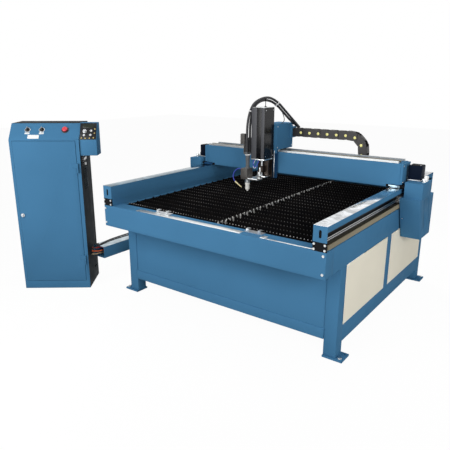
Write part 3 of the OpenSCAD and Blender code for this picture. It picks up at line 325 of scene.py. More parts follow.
def rubber_hose(name="rubber_hose", colour="#17171a"):
    """Extruded rubber hose: matt black with a dusty bloom."""
    material, where = start_material(name)
    tone = mix(noise(where, 20, 5.0), shade(colour, 0.8), shade(colour, 1.9))
    return end_material(material, tone, 0.55, {"IOR": 1.52})


# Mesh shapes


def edges_among(bm, verts):
    """The edges with both ends among these vertices."""
    inside = set(verts)
    return [e for e in bm.edges if e.verts[0] in inside and e.verts[1] in inside]


def bevel(bm, edges, width, segments=2):
    """Rounds edges; the width is in metres."""
    bmesh.ops.bevel(bm, geom=edges, offset=width, offset_type="OFFSET", affect="EDGES",
                    segments=segments, profile=0.5, material=-1, clamp_overlap=True)


def block(bm, low, high, edge, axes=None, segments=2):
    """A rounded box between two corners in the table's millimetres or, with axes, in theirs."""
    low, high = Vector(low) * MM, Vector(high) * MM
    made = bmesh.ops.create_cube(bm, size=1.0)["verts"]
    bmesh.ops.scale(bm, vec=high - low, verts=made)
    bmesh.ops.translate(bm, vec=(low + high) / 2, verts=made)
    bmesh.ops.transform(bm, matrix=axes or Matrix.Translation(TABLE_CORNER), verts=made)
    bevel(bm, edges_among(bm, made), edge * MM, segments)


def plate(bm, size, centre, axes, thin, radius, segments):
    """A plate in metres with rounded corners; thin is the number of the axis through it."""
    made = bmesh.ops.create_cube(bm, size=1.0)["verts"]
    bmesh.ops.scale(bm, vec=size, verts=made)
    bmesh.ops.translate(bm, vec=centre, verts=made)
    corners = [e for e in edges_among(bm, made) if abs((e.verts[0].co - e.verts[1].co)[thin]) > MM]
    bmesh.ops.transform(bm, matrix=axes, verts=made)
    bevel(bm, corners, radius, segments)


def rod(bm, foot, tip, radius, edge=0.0, sides=24, tip_radius=None):
    """A round bar between two points of the row frame; radius and edge in millimetres."""
    axis = tip - foot
    turn = axis.to_track_quat("Z", "Y").to_matrix().to_4x4()
    made = bmesh.ops.create_cone(bm, cap_ends=True, cap_tris=False, segments=sides, radius1=radius * MM,
                                 radius2=(radius if tip_radius is None else tip_radius) * MM,
                                 depth=axis.length, matrix=Matrix.Translation((foot + tip) / 2) @ turn)
    if edge:
        bevel(bm, [e for e in edges_among(bm, made["verts"])
                   if any(len(f.verts) > 4 for f in e.link_faces)], edge * MM)


def lathe(bm, outline, axes, steps=32):
    """Spins an outline of (radius, height) points in millimetres about the axes' Z."""
    old = set(bm.verts)
    points = [bm.verts.new((r * MM, 0.0, z * MM)) for r, z in outline]
    edges = [bm.edges.new(pair) for pair in zip(points, points[1:])]
    bmesh.ops.spin(bm, geom=points + edges, cent=(0, 0, 0), axis=(0, 0, 1), dvec=(0, 0, 0),
                   angle=2 * math.pi, steps=steps, use_merge=True, use_duplicate=False)
    bmesh.ops.remove_doubles(bm, verts=[v for v in bm.verts if v not in old], dist=1e-6)
    made = [v for v in bm.verts if v not in old]
    bmesh.ops.recalc_face_normals(bm, faces=list({f for v in made for f in v.link_faces}))
    bmesh.ops.transform(bm, matrix=axes, verts=made)


def upright(x, y):
    """Axes at a point of the floor in the table's millimetres, Z up."""
    return Matrix.Translation(place(x, y, 0))


def on_slope(slope, x, up):
    """Axes on a sloped face of the cabinet: X across it, Y up it, Z out of it."""
    y, z, rise, run = slope
    return CABINET @ shift(x, y, z) @ Matrix.Rotation(math.atan2(rise, run), 4, "X") @ shift(0, up, 0)


def softened(node, width):
    """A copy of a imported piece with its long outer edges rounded, to stand for it."""
    bm = bmesh.new()
    bm.from_mesh(frame["nodes"][node].data)
    bmesh.ops.remove_doubles(bm, verts=bm.verts, dist=1e-5)
    bmesh.ops.dissolve_limit(bm, angle_limit=math.radians(0.5), verts=bm.verts, edges=bm.edges,
                             use_dissolve_boundaries=False)

    def is_fold(edge):
        length = edge.calc_length()
        return (len(edge.link_faces) == 2 and edge.is_convex and length > FOLD_LENGTH * width
                and edge.calc_face_angle() > FOLD_TURN
                and all(face.calc_area() / length > FOLD_FACE * width for face in edge.link_faces))

    bevel(bm, [edge for edge in bm.edges if is_fold(edge)], width)
    return bm


def add_object(name, data):
    """A new object in the scene."""
    made = bpy.data.objects.new(name, data)
    bpy.context.scene.collection.objects.link(made)
    return made


def mesh_from(name, bm, material):
    """A mesh that takes up a bmesh and has one material."""
    mesh = bpy.data.meshes.new(name)
    bm.to_mesh(mesh)
    bm.free()
    mesh.materials.append(material)
    return mesh


def finish_piece(name, bm, paint, body, stands_for=()):
    """Turns a bmesh into a piece that rides on a body."""
    mesh = mesh_from(name, bm, FINISHES[paint])
    mesh.shade_smooth()
    mesh.set_sharp_from_angle(angle=SMOOTH_TURN)
    made = add_object(name, mesh)
    if stands_for:
        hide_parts(*stands_for)
    if body:
        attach(made, body)
    return made


@contextmanager
def piece(name, paint, body, slot, stands_for=()):
    """An empty bmesh to shape, which then becomes a piece."""
    bm = bmesh.new()
    yield bm
    finish_piece(name, bm, paint, body, stands_for)


def smooth_route(points, steps):
    """A smooth run of points in the row frame through a route in the table's millimetres."""
    route = [place(*p) for p in points]
    run = []
    for i in range(len(route) - 1):
        a, b = route[max(i - 1, 0)], route[i]
        c, d = route[i + 1], route[min(i + 2, len(route) - 1)]
        for k in range(steps):
            t = k / steps
            run.append(0.5 * (2 * b + (c - a) * t + (2 * a - 5 * b + 4 * c - d) * t * t
                              + (3 * b - a - 3 * c + d) * t ** 3))
    return run + [route[-1]]


def cord_curve(name, points, radius, material):
    """A round cord as one open spline."""
    curve = bpy.data.curves.new(name, "CURVE")
    curve.dimensions = "3D"
    curve.bevel_depth = radius * MM
    curve.bevel_resolution = 4
    curve.use_fill_caps = True
    spline = curve.splines.new("POLY")
    spline.points.add(len(points) - 1)
    for point, co in zip(spline.points, points):
        point.co = (*co, 1.0)
    curve.materials.append(material)
    return add_object(name, curve)


def cord_mesh(name, points, radius, material):
    """A round cord as a mesh tube."""
    cord = cord_curve(name + "_line", points, radius, material)
    bpy.context.view_layer.update()
    depsgraph = bpy.context.evaluated_depsgraph_get()
    mesh = bpy.data.meshes.new_from_object(cord.evaluated_get(depsgraph))
    mesh.name = name
    curve = cord.data
    bpy.data.objects.remove(cord)
    bpy.data.curves.remove(curve)
    mesh.shade_smooth()
    return add_object(name, mesh)


# Settings that a user would change


class PaintSettings(bpy.types.PropertyGroup):
    """Colours of the painted and moulded pieces"""

    blue: FloatVectorProperty(name="Blue", description="Powder coat of the sheet metal", size=4,
                              subtype="COLOR", default=linear("#44769b"), min=0, max=1)
    cream: FloatVectorProperty(name="Cream", description="Powder coat of the access panels", size=4,
                               subtype="COLOR", default=linear("#f5efdd"), min=0, max=1)
    black: FloatVectorProperty(name="Black", description="Lacquer of the height slide's cover", size=4,
                               subtype="COLOR", default=linear("#0f0f11"), min=0, max=1)
    chain: FloatVectorProperty(name="Chain", description="Nylon of the drag chains", size=4,
                               subtype="COLOR", default=linear("#1c1918"), min=0, max=1)
    # The caps' yellow is lightened towards white: painted highlight over their real yellow
    pins: FloatVectorProperty(name="Pins", description="Pin caps of the drag chains", size=4,
                              subtype="COLOR", default=linear("#f2eb94"), min=0, max=1)
    red: FloatVectorProperty(name="Red", description="Mushroom head of the stop button", size=4,
                             subtype="COLOR", default=linear("#d03a48"), min=0, max=1)


class SizeSettings(bpy.types.PropertyGroup):
    """Sizes of the added detail"""

    fold: FloatProperty(name="Fold radius", description="Rounding of the folded sheet's outer edges",
                        default=0.003, min=0.0005, max=0.006, subtype="DISTANCE", unit="LENGTH")
    links: IntProperty(name="Links", description="Links of each drag chain", default=16, min=8, max=30)
    pin: FloatProperty(name="Pin cap", description="Radius of a chain's pin cap", default=0.0105,
                       min=0.003, max=0.012, subtype="DISTANCE", unit="LENGTH")


class StageSettings(bpy.types.PropertyGroup):
    """Camera and light"""

    camera: FloatVectorProperty(name="Camera", description="Where the camera stands", size=3,
                                subtype="TRANSLATION", unit="LENGTH", default=(1.866, -3.213, 1.566))
    turn: FloatProperty(name="Turn", description="The camera's turn to the left", subtype="ANGLE",
                        default=math.radians(36.75))
    tilt: FloatProperty(name="Tilt", description="The camera's tilt up from straight down",
                        subtype="ANGLE", default=math.radians(73.63))
    lens: FloatProperty(name="Lens", description="Focal length", default=39.89, min=20, max=120,
                        subtype="DISTANCE_CAMERA")


# Materials by short name, filled by the finishes step
FINISHES = {}
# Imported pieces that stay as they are, by finish
KEPT_NODES = {
    "blue": ["foot_plates", "trough_stands", "chain_tray"],
    # The carriage plate takes the darker blue of painted shade
    "navy": ["carriage_plate"],
    "slats": ["slats", "slag_tray", "slat_combs"],
    "zinc": ["rail_bearings", "carriage_bearings", "drive_gear_left", "drive_gear_right",
             "carriage_pinion", "height_screw", "slat_clips"],
    "bright": ["table_bolts"],
    "divider": ["slat_divider"],
    "side_rail": ["linear_rails"],
    "beam_rail": ["beam_rails"],
    "rack": ["gear_racks", "beam_rack"],
    "satin_black": ["guard_brackets", "gantry_saddles"],
    "motor": ["carriage_motor", "height_motor"],
    "dark_slide": ["height_slide", "height_guides"],
    "grey_plastic": ["cabinet_electronics"],
}


class PLASMA_OT_finishes(bpy.types.Operator):
    """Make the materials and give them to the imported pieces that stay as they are"""

    bl_idname = "plasma.finishes"
    bl_label = "Finishes"

    def execute(self, context):
        paint = context.scene.plasma_paint
        FINISHES.update(
            blue=powder_coat("blue_powder_coat", paint.blue),
            cabinet=powder_coat("two_tone_powder_coat", paint.blue, body="#22282c"),
            cream=powder_coat("cream_powder_coat", paint.cream),
            satin_black=powder_coat("black_powder_coat", "#1b1b1d", 0.5),
            slats=burnt_slat_steel(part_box("slats")[1].z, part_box("slats")[0].y),
            # Painted highlight: a light grey for the louvre hoods, for the light that their ends catch
            louvre_grey=powder_coat("grey_powder_coat", "#565f64"),
            zinc=zinc_plate(),
            bright=zinc_plate("bare_bright_sheet", "#e9ecec"),
            # Painted shade: the side rails' steel is darkened for the shade under the guards' lips; the
            # beam's rails, in the light, are the same steel
            side_rail=ground_steel("ground_side_rail", "#333436", (1.0, 0.02, 1.0)),
            beam_rail=ground_steel("ground_beam_rail", "#c4c6c6", (0.02, 1.0, 1.0)),
            rack=ground_steel("oiled_rack_steel", "#8f8874", (1.0, 0.3, 1.0)),
            divider=scorched_divider(SLAT_PITCH / 2),
            # Painted reflections: bright sheets for the light that the guards' tops catch, white on the
            # right guard and grey on the left
            guard_strip=rolled_sheet("stainless_guard_strip", "#f2f5f8"),
            dull_strip=rolled_sheet("dull_guard_strip", "#8ea3af"),
            # Painted reflection: a pale sheet for the light that the trough's top catches
            lid_sheet=rolled_sheet("dull_trough_sheet", "#c2d0d7"),
            # Painted reflection: a grey for bands on the black cover's front
            cover_strip=lacquer("grey_satin_strip", "#4e4f53", 0.42),
            # Painted shade: a darker blue for the carriage plate in the shade of the hood and for the left
            # clamp block
            navy=powder_coat("navy_powder_coat", "#1f4468"),
            cover=lacquer("black_gloss_lacquer", paint.black),
            motor=powder_coat("motor_enamel", "#0e1726", 0.5),
            chain=moulded_plastic("black_nylon", paint.chain),
            pins=moulded_plastic("yellow_nylon", paint.pins, 0.4),
            black_plastic=moulded_plastic("black_moulded_plastic", "#19191b", 0.4),
            grey_plastic=moulded_plastic("grey_moulded_plastic", "#5c5d60", 0.5),
            white_plate=moulded_plastic("white_label_plate", "#e9eaea", 0.4),
            red=moulded_plastic("red_moulded_plastic", paint.red, 0.28),
            aluminium=machined_aluminium(),
            dark_slide=machined_aluminium("blackened_steel", "#4a423d"),
            ceramic=fired_ceramic(),
            hose=rubber_hose(),
            wire_blue=rubber_hose("blue_wire_sheath", "#2c3c9c"),
            sheath_pale=rubber_hose("pale_lead_sheath", "#b9bcbe"),
            sheath_tan=rubber_hose("tan_cable_sheath", "#a08f72"),
            sheath_orange=rubber_hose("orange_cable_sheath", "#c2572c"),
            sheath_red=rubber_hose("red_cable_sheath", "#b8322c"),
            torch_grey=moulded_plastic("grey_torch_barrel", "#515457", 0.42),
            clamp=moulded_plastic("dark_cast_clamp", "#4b4845", 0.5, 5),
            face_black=lacquer("black_operator_face", "#121215", 0.28),
            screen=lacquer("dark_screen_glass", "#23281f", 0.12),
            brass=zinc_plate("brass_lamp_rims", "#c9b476"),
            pale_tip=moulded_plastic("pale_wire_tip", "#e6d9a8", 0.4),
        )
        for name, nodes in KEPT_NODES.items():
            for node in nodes:
                mesh = frame["nodes"][node].data
                mesh.materials.clear()
                mesh.materials.append(FINISHES[name])
        return {"FINISHED"}


# Folded sheet metal: body, finish, slot and nodes
FOLDED = [
    ("table", "blue", "painted_blue",
     ["front_beam", "rear_beam", "side_frames", "legs", "end_panels", "rail_guard_left",
      "rail_guard_right", "cable_trough", "operator_box"]),
    ("gantry", "blue", "painted_blue",
     ["gantry_beam", "drive_boxes", "side_box_left", "side_box_right"]),
    ("carriage", "blue", "painted_blue", ["carriage_hood"]),
    ("cabinet_door", "blue", "painted_blue", ["cabinet_door"]),
    ("table", "cabinet", "painted_blue", ["cabinet_shell"]),
    ("table", "cream", "cream_paint", ["access_panels"]),
    ("carriage", "cover", "black_paint", ["height_cover"]),
]
THIN_NODES = ["rail_guard_left", "rail_guard_right", "cable_trough", "access_panels"]
THIN_SHARE = 0.4


class PLASMA_OT_sheet_metal(bpy.types.Operator):
    """Round the folded edges of the sheet metal pieces"""

    bl_idname = "plasma.sheet_metal"
    bl_label = "Sheet metal"

    def execute(self, context):
        fold = context.scene.plasma_sizes.fold
        for body, paint, slot, nodes in FOLDED:
            for node in nodes:
                sheet = softened(node, THIN_SHARE * fold if node in THIN_NODES else fold)
                finish_piece(node + "_folded", sheet, paint, body, [node])
        return {"FINISHED"}


# The drag chains' links and pin caps, and the radius of their bend, in millimetres
LINK_HEIGHT = 66
LINK_WIDTH = 58
LINK_PLATE = 4
LINK_BAR = 5
PIN_HEIGHT = 3
CHAIN_BEND = 110
# Shares of a link's height: how far a plate reaches past its pins, its own height and its corners
PLATE_REACH, PLATE_HEIGHT, PLATE_CORNER = 0.24, 0.94, 0.30
# Half a bar's length as a share of the pitch
BAR_REACH = 0.32
# Where the beam's chain is held on its tray, and how far behind the gear the trough's chain is held
BEAM_CHAIN_HOLD = 850
TROUGH_CHAIN_HOLD = 12


def chain_link(bm, axes, pitch, outer):
    """One chain link: two side plates and two cross bars, in axes with X along the chain."""
    side = LINK_WIDTH / 2 - (0 if outer else LINK_PLATE)
    size = Vector((pitch + 2 * PLATE_REACH * LINK_HEIGHT, LINK_PLATE, PLATE_HEIGHT * LINK_HEIGHT)) * MM
    for y in (LINK_PLATE / 2 - side, side - LINK_PLATE / 2):
        plate(bm, size, Vector((0, y, 0)) * MM, axes, 1, PLATE_CORNER * LINK_HEIGHT * MM, 4)
    bar = BAR_REACH * pitch
    for z in (-LINK_HEIGHT / 2, LINK_HEIGHT / 2 - LINK_BAR):
        block(bm, (-bar, 1 - side, z), (bar, side - 1, z + LINK_BAR), 1.0, axes)


def chain_pieces(node, along, fixed_end, moving_end, settings):
    """A drag chain in three pieces: the run that moves, the bend, and the run that stays."""
    low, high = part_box(node)
    radius = CHAIN_BEND * MM
    half = LINK_HEIGHT * MM / 2
    across = Vector((0, 0, 1)).cross(along)
    turn_at = high.dot(along) - radius - half
    middle = across * ((low + high) / 2).dot(across)
    runs = (turn_at - moving_end, math.pi * radius, turn_at - fixed_end)
    pitch = sum(runs) / settings.links
    meshes = {part: (bmesh.new(), bmesh.new()) for part in ("upper", "bend", "lower")}

    def spot(s):
        """The part of the chain this far from its moving end, its point there and its turn."""
        if s < runs[0]:
            part, turn, reach = "upper", 0.0, moving_end + s
        elif s < runs[0] + runs[1]:
            part, turn = "bend", (s - runs[0]) / radius
            reach = turn_at + radius * math.sin(turn)
        else:
            part, turn, reach = "lower", math.pi, turn_at - (s - runs[0] - runs[1])
        level = low.z + radius + half + radius * math.cos(turn)
        return part, along * reach + middle + Vector((0, 0, level)), turn

    for k in range(settings.links):
        part, at, turn = spot((k + 0.5) * pitch)
        heading = along * math.cos(turn) - Vector((0, 0, 1)) * math.sin(turn)
        axes = Matrix((heading, across, heading.cross(across))).transposed().to_4x4()
        chain_link(meshes[part][0], Matrix.Translation(at) @ axes, pitch / MM, k % 2 == 0)
        part, at, turn = spot(min((k + 1) * pitch, sum(runs) - 0.2 * pitch))
        for way in (-across, across):
            face = at + way * LINK_WIDTH / 2 * MM
            rod(meshes[part][1], face, face + way * PIN_HEIGHT * MM, settings.pin / MM, 0.8, 16)
    for part, (links, pins) in meshes.items():
        for suffix, bm, paint in (("links", links, "chain"), ("pins", pins, "pins")):
            if not bm.verts:
                bm.free()
                continue
            made = finish_piece(f"{node}_{part}_{suffix}", bm, paint, None,
                                [node] if suffix == "links" else ())
            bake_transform(made)


class PLASMA_OT_drag_chains(bpy.types.Operator):
    """Build the two drag chains from links and pins"""

    bl_idname = "plasma.drag_chains"
    bl_label = "Drag chains"

    def execute(self, context):
        settings = context.scene.plasma_sizes
        chain_pieces("beam_chain", Vector((1, 0, 0)),
                     place(BEAM_CHAIN_HOLD, 0, 0).x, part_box("beam_chain")[0].x, settings)
        gear = next(joint for joint in frame["joints"] if joint["name"] == "drive_gear_left_turn")
        chain_pieces("trough_chain", Vector((0, 1, 0)),
                     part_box("trough_chain")[0].y, gear["pos_m"][1] + TROUGH_CHAIN_HOLD * MM, settings)
        return {"FINISHED"}


# Routes in the table's millimetres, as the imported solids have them
HOSE_ROUTES = {
    "hose_a": [(574, 926, 1028.2), (574, 926, 1110), (574, 927, 1180), (574.5, 932, 1240), (577, 945, 1298),
               (582, 964, 1346), (592.5, 987, 1384), (612, 1014, 1409), (637, 1047, 1425),
               (662, 1082, 1427.5), (685, 1118, 1413), (708, 1157, 1383), (734, 1203, 1333),
               (765, 1258, 1271), (803, 1320, 1198.8)],
    "hose_b": [(574, 966, 1028.2), (574, 966, 1110), (574, 966, 1180), (575, 968, 1240), (578, 977, 1296),
               (582, 993, 1343.5), (594, 1012.5, 1376.5), (612.5, 1039.5, 1399.5), (634, 1069.5, 1408.5),
               (656, 1101.5, 1404), (675, 1135, 1388), (694, 1172, 1359), (718, 1217, 1311),
               (749, 1272, 1252), (785, 1334, 1199.8)],
}
HOSE_RADIUS = 9
# The sensing wire: its lead's route, its tip's two ends and its lead's radius
WIRE_ROUTE = [(536, 940, 888), (510, 940, 894), (478, 940, 886), (450, 940, 862), (438, 940, 832),
              (442, 940, 804), (456, 940, 786)]
WIRE_TIP = [(456, 940, 786), (520, 940, 746)]
WIRE_RADIUS = 4
# Thin leads that only the scene has: name, body, radius, sheath and route
LEADS = {
    "slide_lead_blue": ("torch_head", 3.6, "wire_blue", [
        (618, 994, 986), (611, 983, 974), (607, 971, 954), (610, 963, 932), (622, 959, 917),
        (636, 959, 918), (646, 964, 934), (650, 974, 956), (650, 985, 974), (648, 994, 986)]),
    "slide_lead_pale": ("torch_head", 2.2, "sheath_pale", [
        (626, 994, 980), (618, 984, 966), (611, 972, 944), (611, 962, 922), (620, 957.5, 906),
        (632, 958, 908), (640, 964, 922), (643, 976, 944), (641, 986, 962), (638, 994, 974)]),
    "hood_lead": ("carriage", 2.8, "hose", [
        (700, 1160, 1371), (707, 1172, 1354), (715, 1183, 1332), (724, 1192, 1306), (731, 1198, 1282),
        (735, 1198, 1262), (734, 1190, 1247), (730, 1180, 1238), (726, 1171, 1231.5)]),
    "trough_lead": ("table", 5, "hose", [
        (-337.6, 113.8, 288), (-321.8, 126.1, 290), (-311, 143, 298), (-309, 164, 306), (-313, 192, 309.8),
        (-323, 230, 310), (-336, 280, 310), (-345, 340, 310), (-348, 420, 310), (-348, 520, 310),
        (-348, 620, 310), (-348, 700, 310), (-347, 770, 309.8), (-346, 812, 303), (-345, 846, 288),
        (-344, 872, 268)]),
}
# Cables between the cabinet's glands and the trough: gland's place, its level and the straight start
CABLES = {"sheath_tan": (118, 236, 8), "sheath_orange": (128, 258, 33), "sheath_red": (138, 280, 8)}
CABLE_BEND = 50
CABLE_FALL = 120
CABLE_RADIUS = 6
# How far a cable reaches into its gland, and along the trough's floor
GLAND_DEPTH = 12
FLOOR_RUN = 20
TROUGH_FLOOR = 215.3


def cable_route(y, z, lead):
    """The route of a cabinet cable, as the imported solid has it: out, round a bend, down to the floor."""
    def heading(angle):
        return Vector((math.cos(angle), math.sin(angle), 0))

    gland = Vector((*CABINET_CORNER[:2], z)) + y * heading(CABINET_TURN + math.pi / 2)
    centre = gland + lead * heading(CABINET_TURN) + CABLE_BEND * heading(CABINET_TURN + math.pi / 2)
    last = centre + CABLE_BEND * heading(0)
    fall = z - TROUGH_FLOOR - CABLE_RADIUS
    route = [gland - GLAND_DEPTH * heading(CABINET_TURN), gland]
    for i in range(6):
        route.append(centre + CABLE_BEND * heading((CABINET_TURN - math.pi / 2) * (1 - i / 6)))
    for i in range(13):
        route.append(last + Vector((0, CABLE_FALL * i / 12, -fall * (1 - math.cos(math.pi * i / 12)) / 2)))
    return route + [last + Vector((0, CABLE_FALL + FLOOR_RUN, -fall))]


class PLASMA_OT_cords(bpy.types.Operator):
    """Lay the torch's hoses, the cabinet's cables, the thin leads and the sensing wire"""

    bl_idname = "plasma.cords"
    bl_label = "Hoses and wire"

    def execute(self, context):
        for name, route in HOSE_ROUTES.items():
            points = smooth_route(route, steps=8)
            hose = cord_mesh("torch_" + name, points, HOSE_RADIUS, FINISHES["hose"])
            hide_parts("torch_hoses")
            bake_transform(hose)
        for name, gland in CABLES.items():
            points = smooth_route(cable_route(*gland), steps=2)
            cable = cord_mesh("cabinet_cable_" + name, points, CABLE_RADIUS, FINISHES[name])
            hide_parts("cabinet_cables")
            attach(cable, "table")
        for name, (body, radius, sheath, route) in LEADS.items():
            points = smooth_route(route, steps=4)
            lead = cord_curve(name, points, radius, FINISHES[sheath])
            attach(lead, body)
        bm = bmesh.new()
        foot, tip = (place(*p) for p in WIRE_TIP)
        way = tip - foot
        rod(bm, foot, foot + way * 0.45, 5.6, 0.8, 16)
        rod(bm, foot + way * 0.45, foot + way * 0.8, 4.4, 0.5, 16)
        rod(bm, foot + way * 0.8, tip, 3.4, 0.5, 16, 1.6)
        ferrule = finish_piece("sensing_wire_tip", bm, "pale_tip", "torch_head",
                               ["sensing_wire"])
        points = smooth_route(WIRE_ROUTE, steps=5)
        wire = cord_curve("sensing_wire_lead", points, WIRE_RADIUS, FINISHES["wire_blue"])
        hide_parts("sensing_wire")
        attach(wire, "torch_head")
        return {"FINISHED"}


SELECTORS = {"selector_left": -374, "selector_right": -272}
STOP_X = -105
# How far up the sloped panel the selectors and the stop button stand
KNOB_UP = 82.7
DIAL = (38, 67.4)
SOCKETS = [(84, 70), (34, 36), (80, 38)]
LAMPS = [(16, 15), (44, 13), (74, 14), (102, 16), (108, 52), (110, 84)]


class PLASMA_OT_controls(bpy.types.Operator):
    """Build the selectors, the stop button, the dial and their plates"""

    bl_idname = "plasma.controls"
    bl_label = "Cabinet controls"

    def execute(self, context):
        for name, x in SELECTORS.items():
            axes = on_slope(PANEL, x, KNOB_UP)
            with piece(name + "_knob", "black_plastic", name, "black_plastic", [name]) as knob:
                lathe(knob, [(0, 0.6), (16.6, 0.6), (17, 1.2), (17, 4.2), (15.6, 6), (0, 6)], axes)
                block(knob, (-5, -16, 5.5), (5, 16, 20), 2.2, axes, 3)
            with piece(name + "_mark", "white_plate", name, "grey_plastic") as mark:
                block(mark, (-1.1, 3, 19.6), (1.1, 15, 20.4), 0.3, axes)
        with piece("selector_plates", "bright", "table", "bright_steel") as plates:
            for x in SELECTORS.values():
                axes = on_slope(PANEL, x, KNOB_UP)
                lathe(plates, [(17.6, 0), (20.5, 0), (20.5, 2.4), (19.6, 3.2), (17.6, 3.2), (17.6, 0)], axes)
                block(plates, (-17, -36, 0), (17, -21, 1.4), 0.5, axes)
        with piece("blank_label_plate", "white_plate", "table", "grey_plastic") as label:
            block(label, (-40, 0, 0), (40, 32, 1.4), 0.6, on_slope(PANEL, -326, 8))
        axes = on_slope(PANEL, STOP_X, KNOB_UP)
        with piece("stop_button_head", "red", "stop_button", "red_plastic", ["stop_button"]) as head:
            lathe(head, [(0, 7), (17, 7), (19.4, 8.2), (20, 10), (20, 12.4), (18.6, 15.6), (14, 18),
                         (7, 19.1), (0, 19.4)], axes, 40)
        with piece("stop_button_stem", "black_plastic", "stop_button", "red_plastic") as stem:
            lathe(stem, [(0, -6), (7.6, -6), (7.6, 7), (0, 7)], axes)
        with piece("stop_button_ring", "black_plastic", "table", "black_plastic") as ring:
            lathe(ring, [(9, 0), (27, 0), (27, 0.5), (26.4, 0.9), (9, 0.9), (9, 0)], axes, 40)
        self.operator_face()
        return {"FINISHED"}

    @staticmethod
    def operator_face():
        """The operator box's face with its dial, sockets, lamps and screen."""
        axes, at = on_slope(OPERATOR, 0, 0), on_slope(OPERATOR, *DIAL)
        with piece("operator_face", "face_black", "table", "black_plastic") as face:
            block(face, (3, 3, 0), (122, 131, 0.24), 0.1, axes)
        with piece("operator_dial_knob", "aluminium", "operator_dial", "bright_steel",
                   ["operator_dial"]) as dial:
            lathe(dial, [(0, 0.6), (13.4, 0.6), (14, 1.4), (14, 4), (11.6, 5), (11, 13), (10.2, 14.2),
                         (0, 14.2)], at, 40)
        with piece("operator_dial_mark", "black_plastic", "operator_dial", "bright_steel") as mark:
            block(mark, (-0.9, 3, 14), (0.9, 10, 14.6), 0.2, at)
        with piece("operator_sockets", "aluminium", "table", "bright_steel") as sockets:
            for spot in SOCKETS:
                lathe(sockets, [(0, 0.2), (9, 0.2), (9, 4), (8, 5.5), (5.5, 5.5), (5.5, 2.5), (0, 2.5)],
                      on_slope(OPERATOR, *spot))
        with piece("operator_lamps", "brass", "table", "bright_steel") as lamps:
            for spot in LAMPS:
                lathe(lamps, [(0, 0.2), (5, 0.2), (5, 2.2), (3.6, 3.8), (0, 4.2)],
                      on_slope(OPERATOR, *spot), 20)
        with piece("operator_screen", "screen", "table", "black_plastic") as screen:
            block(screen, (22, 94, 0), (104, 122, 1.2), 0.5, axes)


# Plugs on the cabinet's side, by depth and level: bright ones and ones with dark caps
BRIGHT_PLUGS = [(62, 1000), (96, 1004), (84, 962)]
DARK_PLUGS = [(30, 1002), (44, 968)]
PLUG = [(0, 0), (13, 0), (13, 3), (10, 3.6), (10, 9), (11.4, 9.6), (11.4, 17), (10.4, 18), (0, 18)]
# Left edges of the drives and of the terminals behind the door
DRIVE_XS = row(-430, 92, 4)
TERMINAL_XS = row(-428, 15.8, 22)


class PLASMA_OT_cabinet_fittings(bpy.types.Operator):
    """Add the latch, the louvre hoods, the plugs and the inside of the cabinet"""

    bl_idname = "plasma.cabinet_fittings"
    bl_label = "Cabinet fittings"

    def execute(self, context):
        out = CABINET @ shift(-456, -3.3, 590) @ Matrix.Rotation(math.pi / 2, 4, "X")
        with piece("door_latch_knob", "zinc", "door_latch", "bright_steel", ["door_latch"]) as latch:
            lathe(latch, [(0, 0), (13.2, 0), (14, 0.8), (14, 4.6), (12.6, 6), (0, 6)], out, 40)
            block(latch, (-4, -13, 5.5), (4, 13, 13.8), 1.6, out, 3)
            block(latch, (-7, -7, -22.6), (7, 32, -18.6), 0.8, out)
            rod(latch, out @ Vector((0, 0, -0.02)), out.translation, 7.8)
        # The hoods are pressed in the dark side panel; their lighter grey is painted highlight
        with piece("louvre_hoods", "louvre_grey", "table", "painted_blue") as hoods:
            for z in row(779, 16, 10):
                block(hoods, (0, 66, z), (5, 164, z + 4), 1.8, CABINET, 3)
        for name, paint, slot, spots in (
                ("cabinet_plugs", "bright", "bright_steel", BRIGHT_PLUGS),
                ("cabinet_plug_caps", "black_plastic", "black_plastic", DARK_PLUGS)):
            with piece(name, paint, "table", slot) as plugs:
                for y, z in spots:
                    lathe(plugs, PLUG, CABINET @ shift(0, y, z) @ Matrix.Rotation(math.pi / 2, 4, "Y"), 28)
        self.inside()
        return {"FINISHED"}

    @staticmethod
    def inside():
        """Fronts, terminals and wiring ducts of the drives and the supply behind the door."""
        with piece("drive_fronts", "face_black", "table", "black_plastic") as fronts:
            for x in DRIVE_XS:
                block(fronts, (x + 3, 177, 812), (x + 67, 180.5, 1002), 1.2, CABINET)
        with piece("supply_slots", "black_plastic", "table", "black_plastic") as slots:
            for x, z in product((-416, -314), row(436, 17, 11)):
                block(slots, (x, 186.8, z), (x + 88, 187.8, z + 7), 0.3, CABINET)
        with piece("supply_cover", "zinc", "table", "bright_steel") as cover:
            block(cover, (-428, 187.5, 422), (-212, 190.5, 638), 1.0, CABINET)
        with piece("terminal_blocks", "white_plate", "table", "grey_plastic") as terminals:
            for left in DRIVE_XS:
                block(terminals, (left + 12, 175.8, 950), (left + 58, 177.5, 985), 0.5, CABINET)
                for x in row(left + 9, 9, 6):
                    block(terminals, (x, 173, 822), (x + 7, 177.5, 846), 0.6, CABINET)
            for x in TERMINAL_XS:
                block(terminals, (x, 224, 250), (x + 14.2, 230.5, 310), 0.8, CABINET)
        with piece("terminal_screws", "zinc", "table", "bright_steel") as screws:
            for x, z in product(TERMINAL_XS, (264, 296)):
                foot, tip = (CABINET @ (Vector((x + 7.1, y, z)) * MM) for y in (224, 222.6))
                rod(screws, foot, tip, 3.6, 0.4, 12)
        with piece("wiring_ducts", "grey_plastic", "table", "grey_plastic") as ducts:
            for z in (350, 720):
                block(ducts, (-440, 251, z), (-60, 290, z + 36), 0.8, CABINET)
                block(ducts, (-441, 247, z - 7), (-59, 251, z + 43), 0.8, CABINET)
                for x in row(-438, 15.8, 24):
                    block(ducts, (x, 252, z - 6), (x + 9, 288, z + 42), 0.6, CABINET)


# The torch's bracket is dark to the left of this place
CLAMP_END = 600


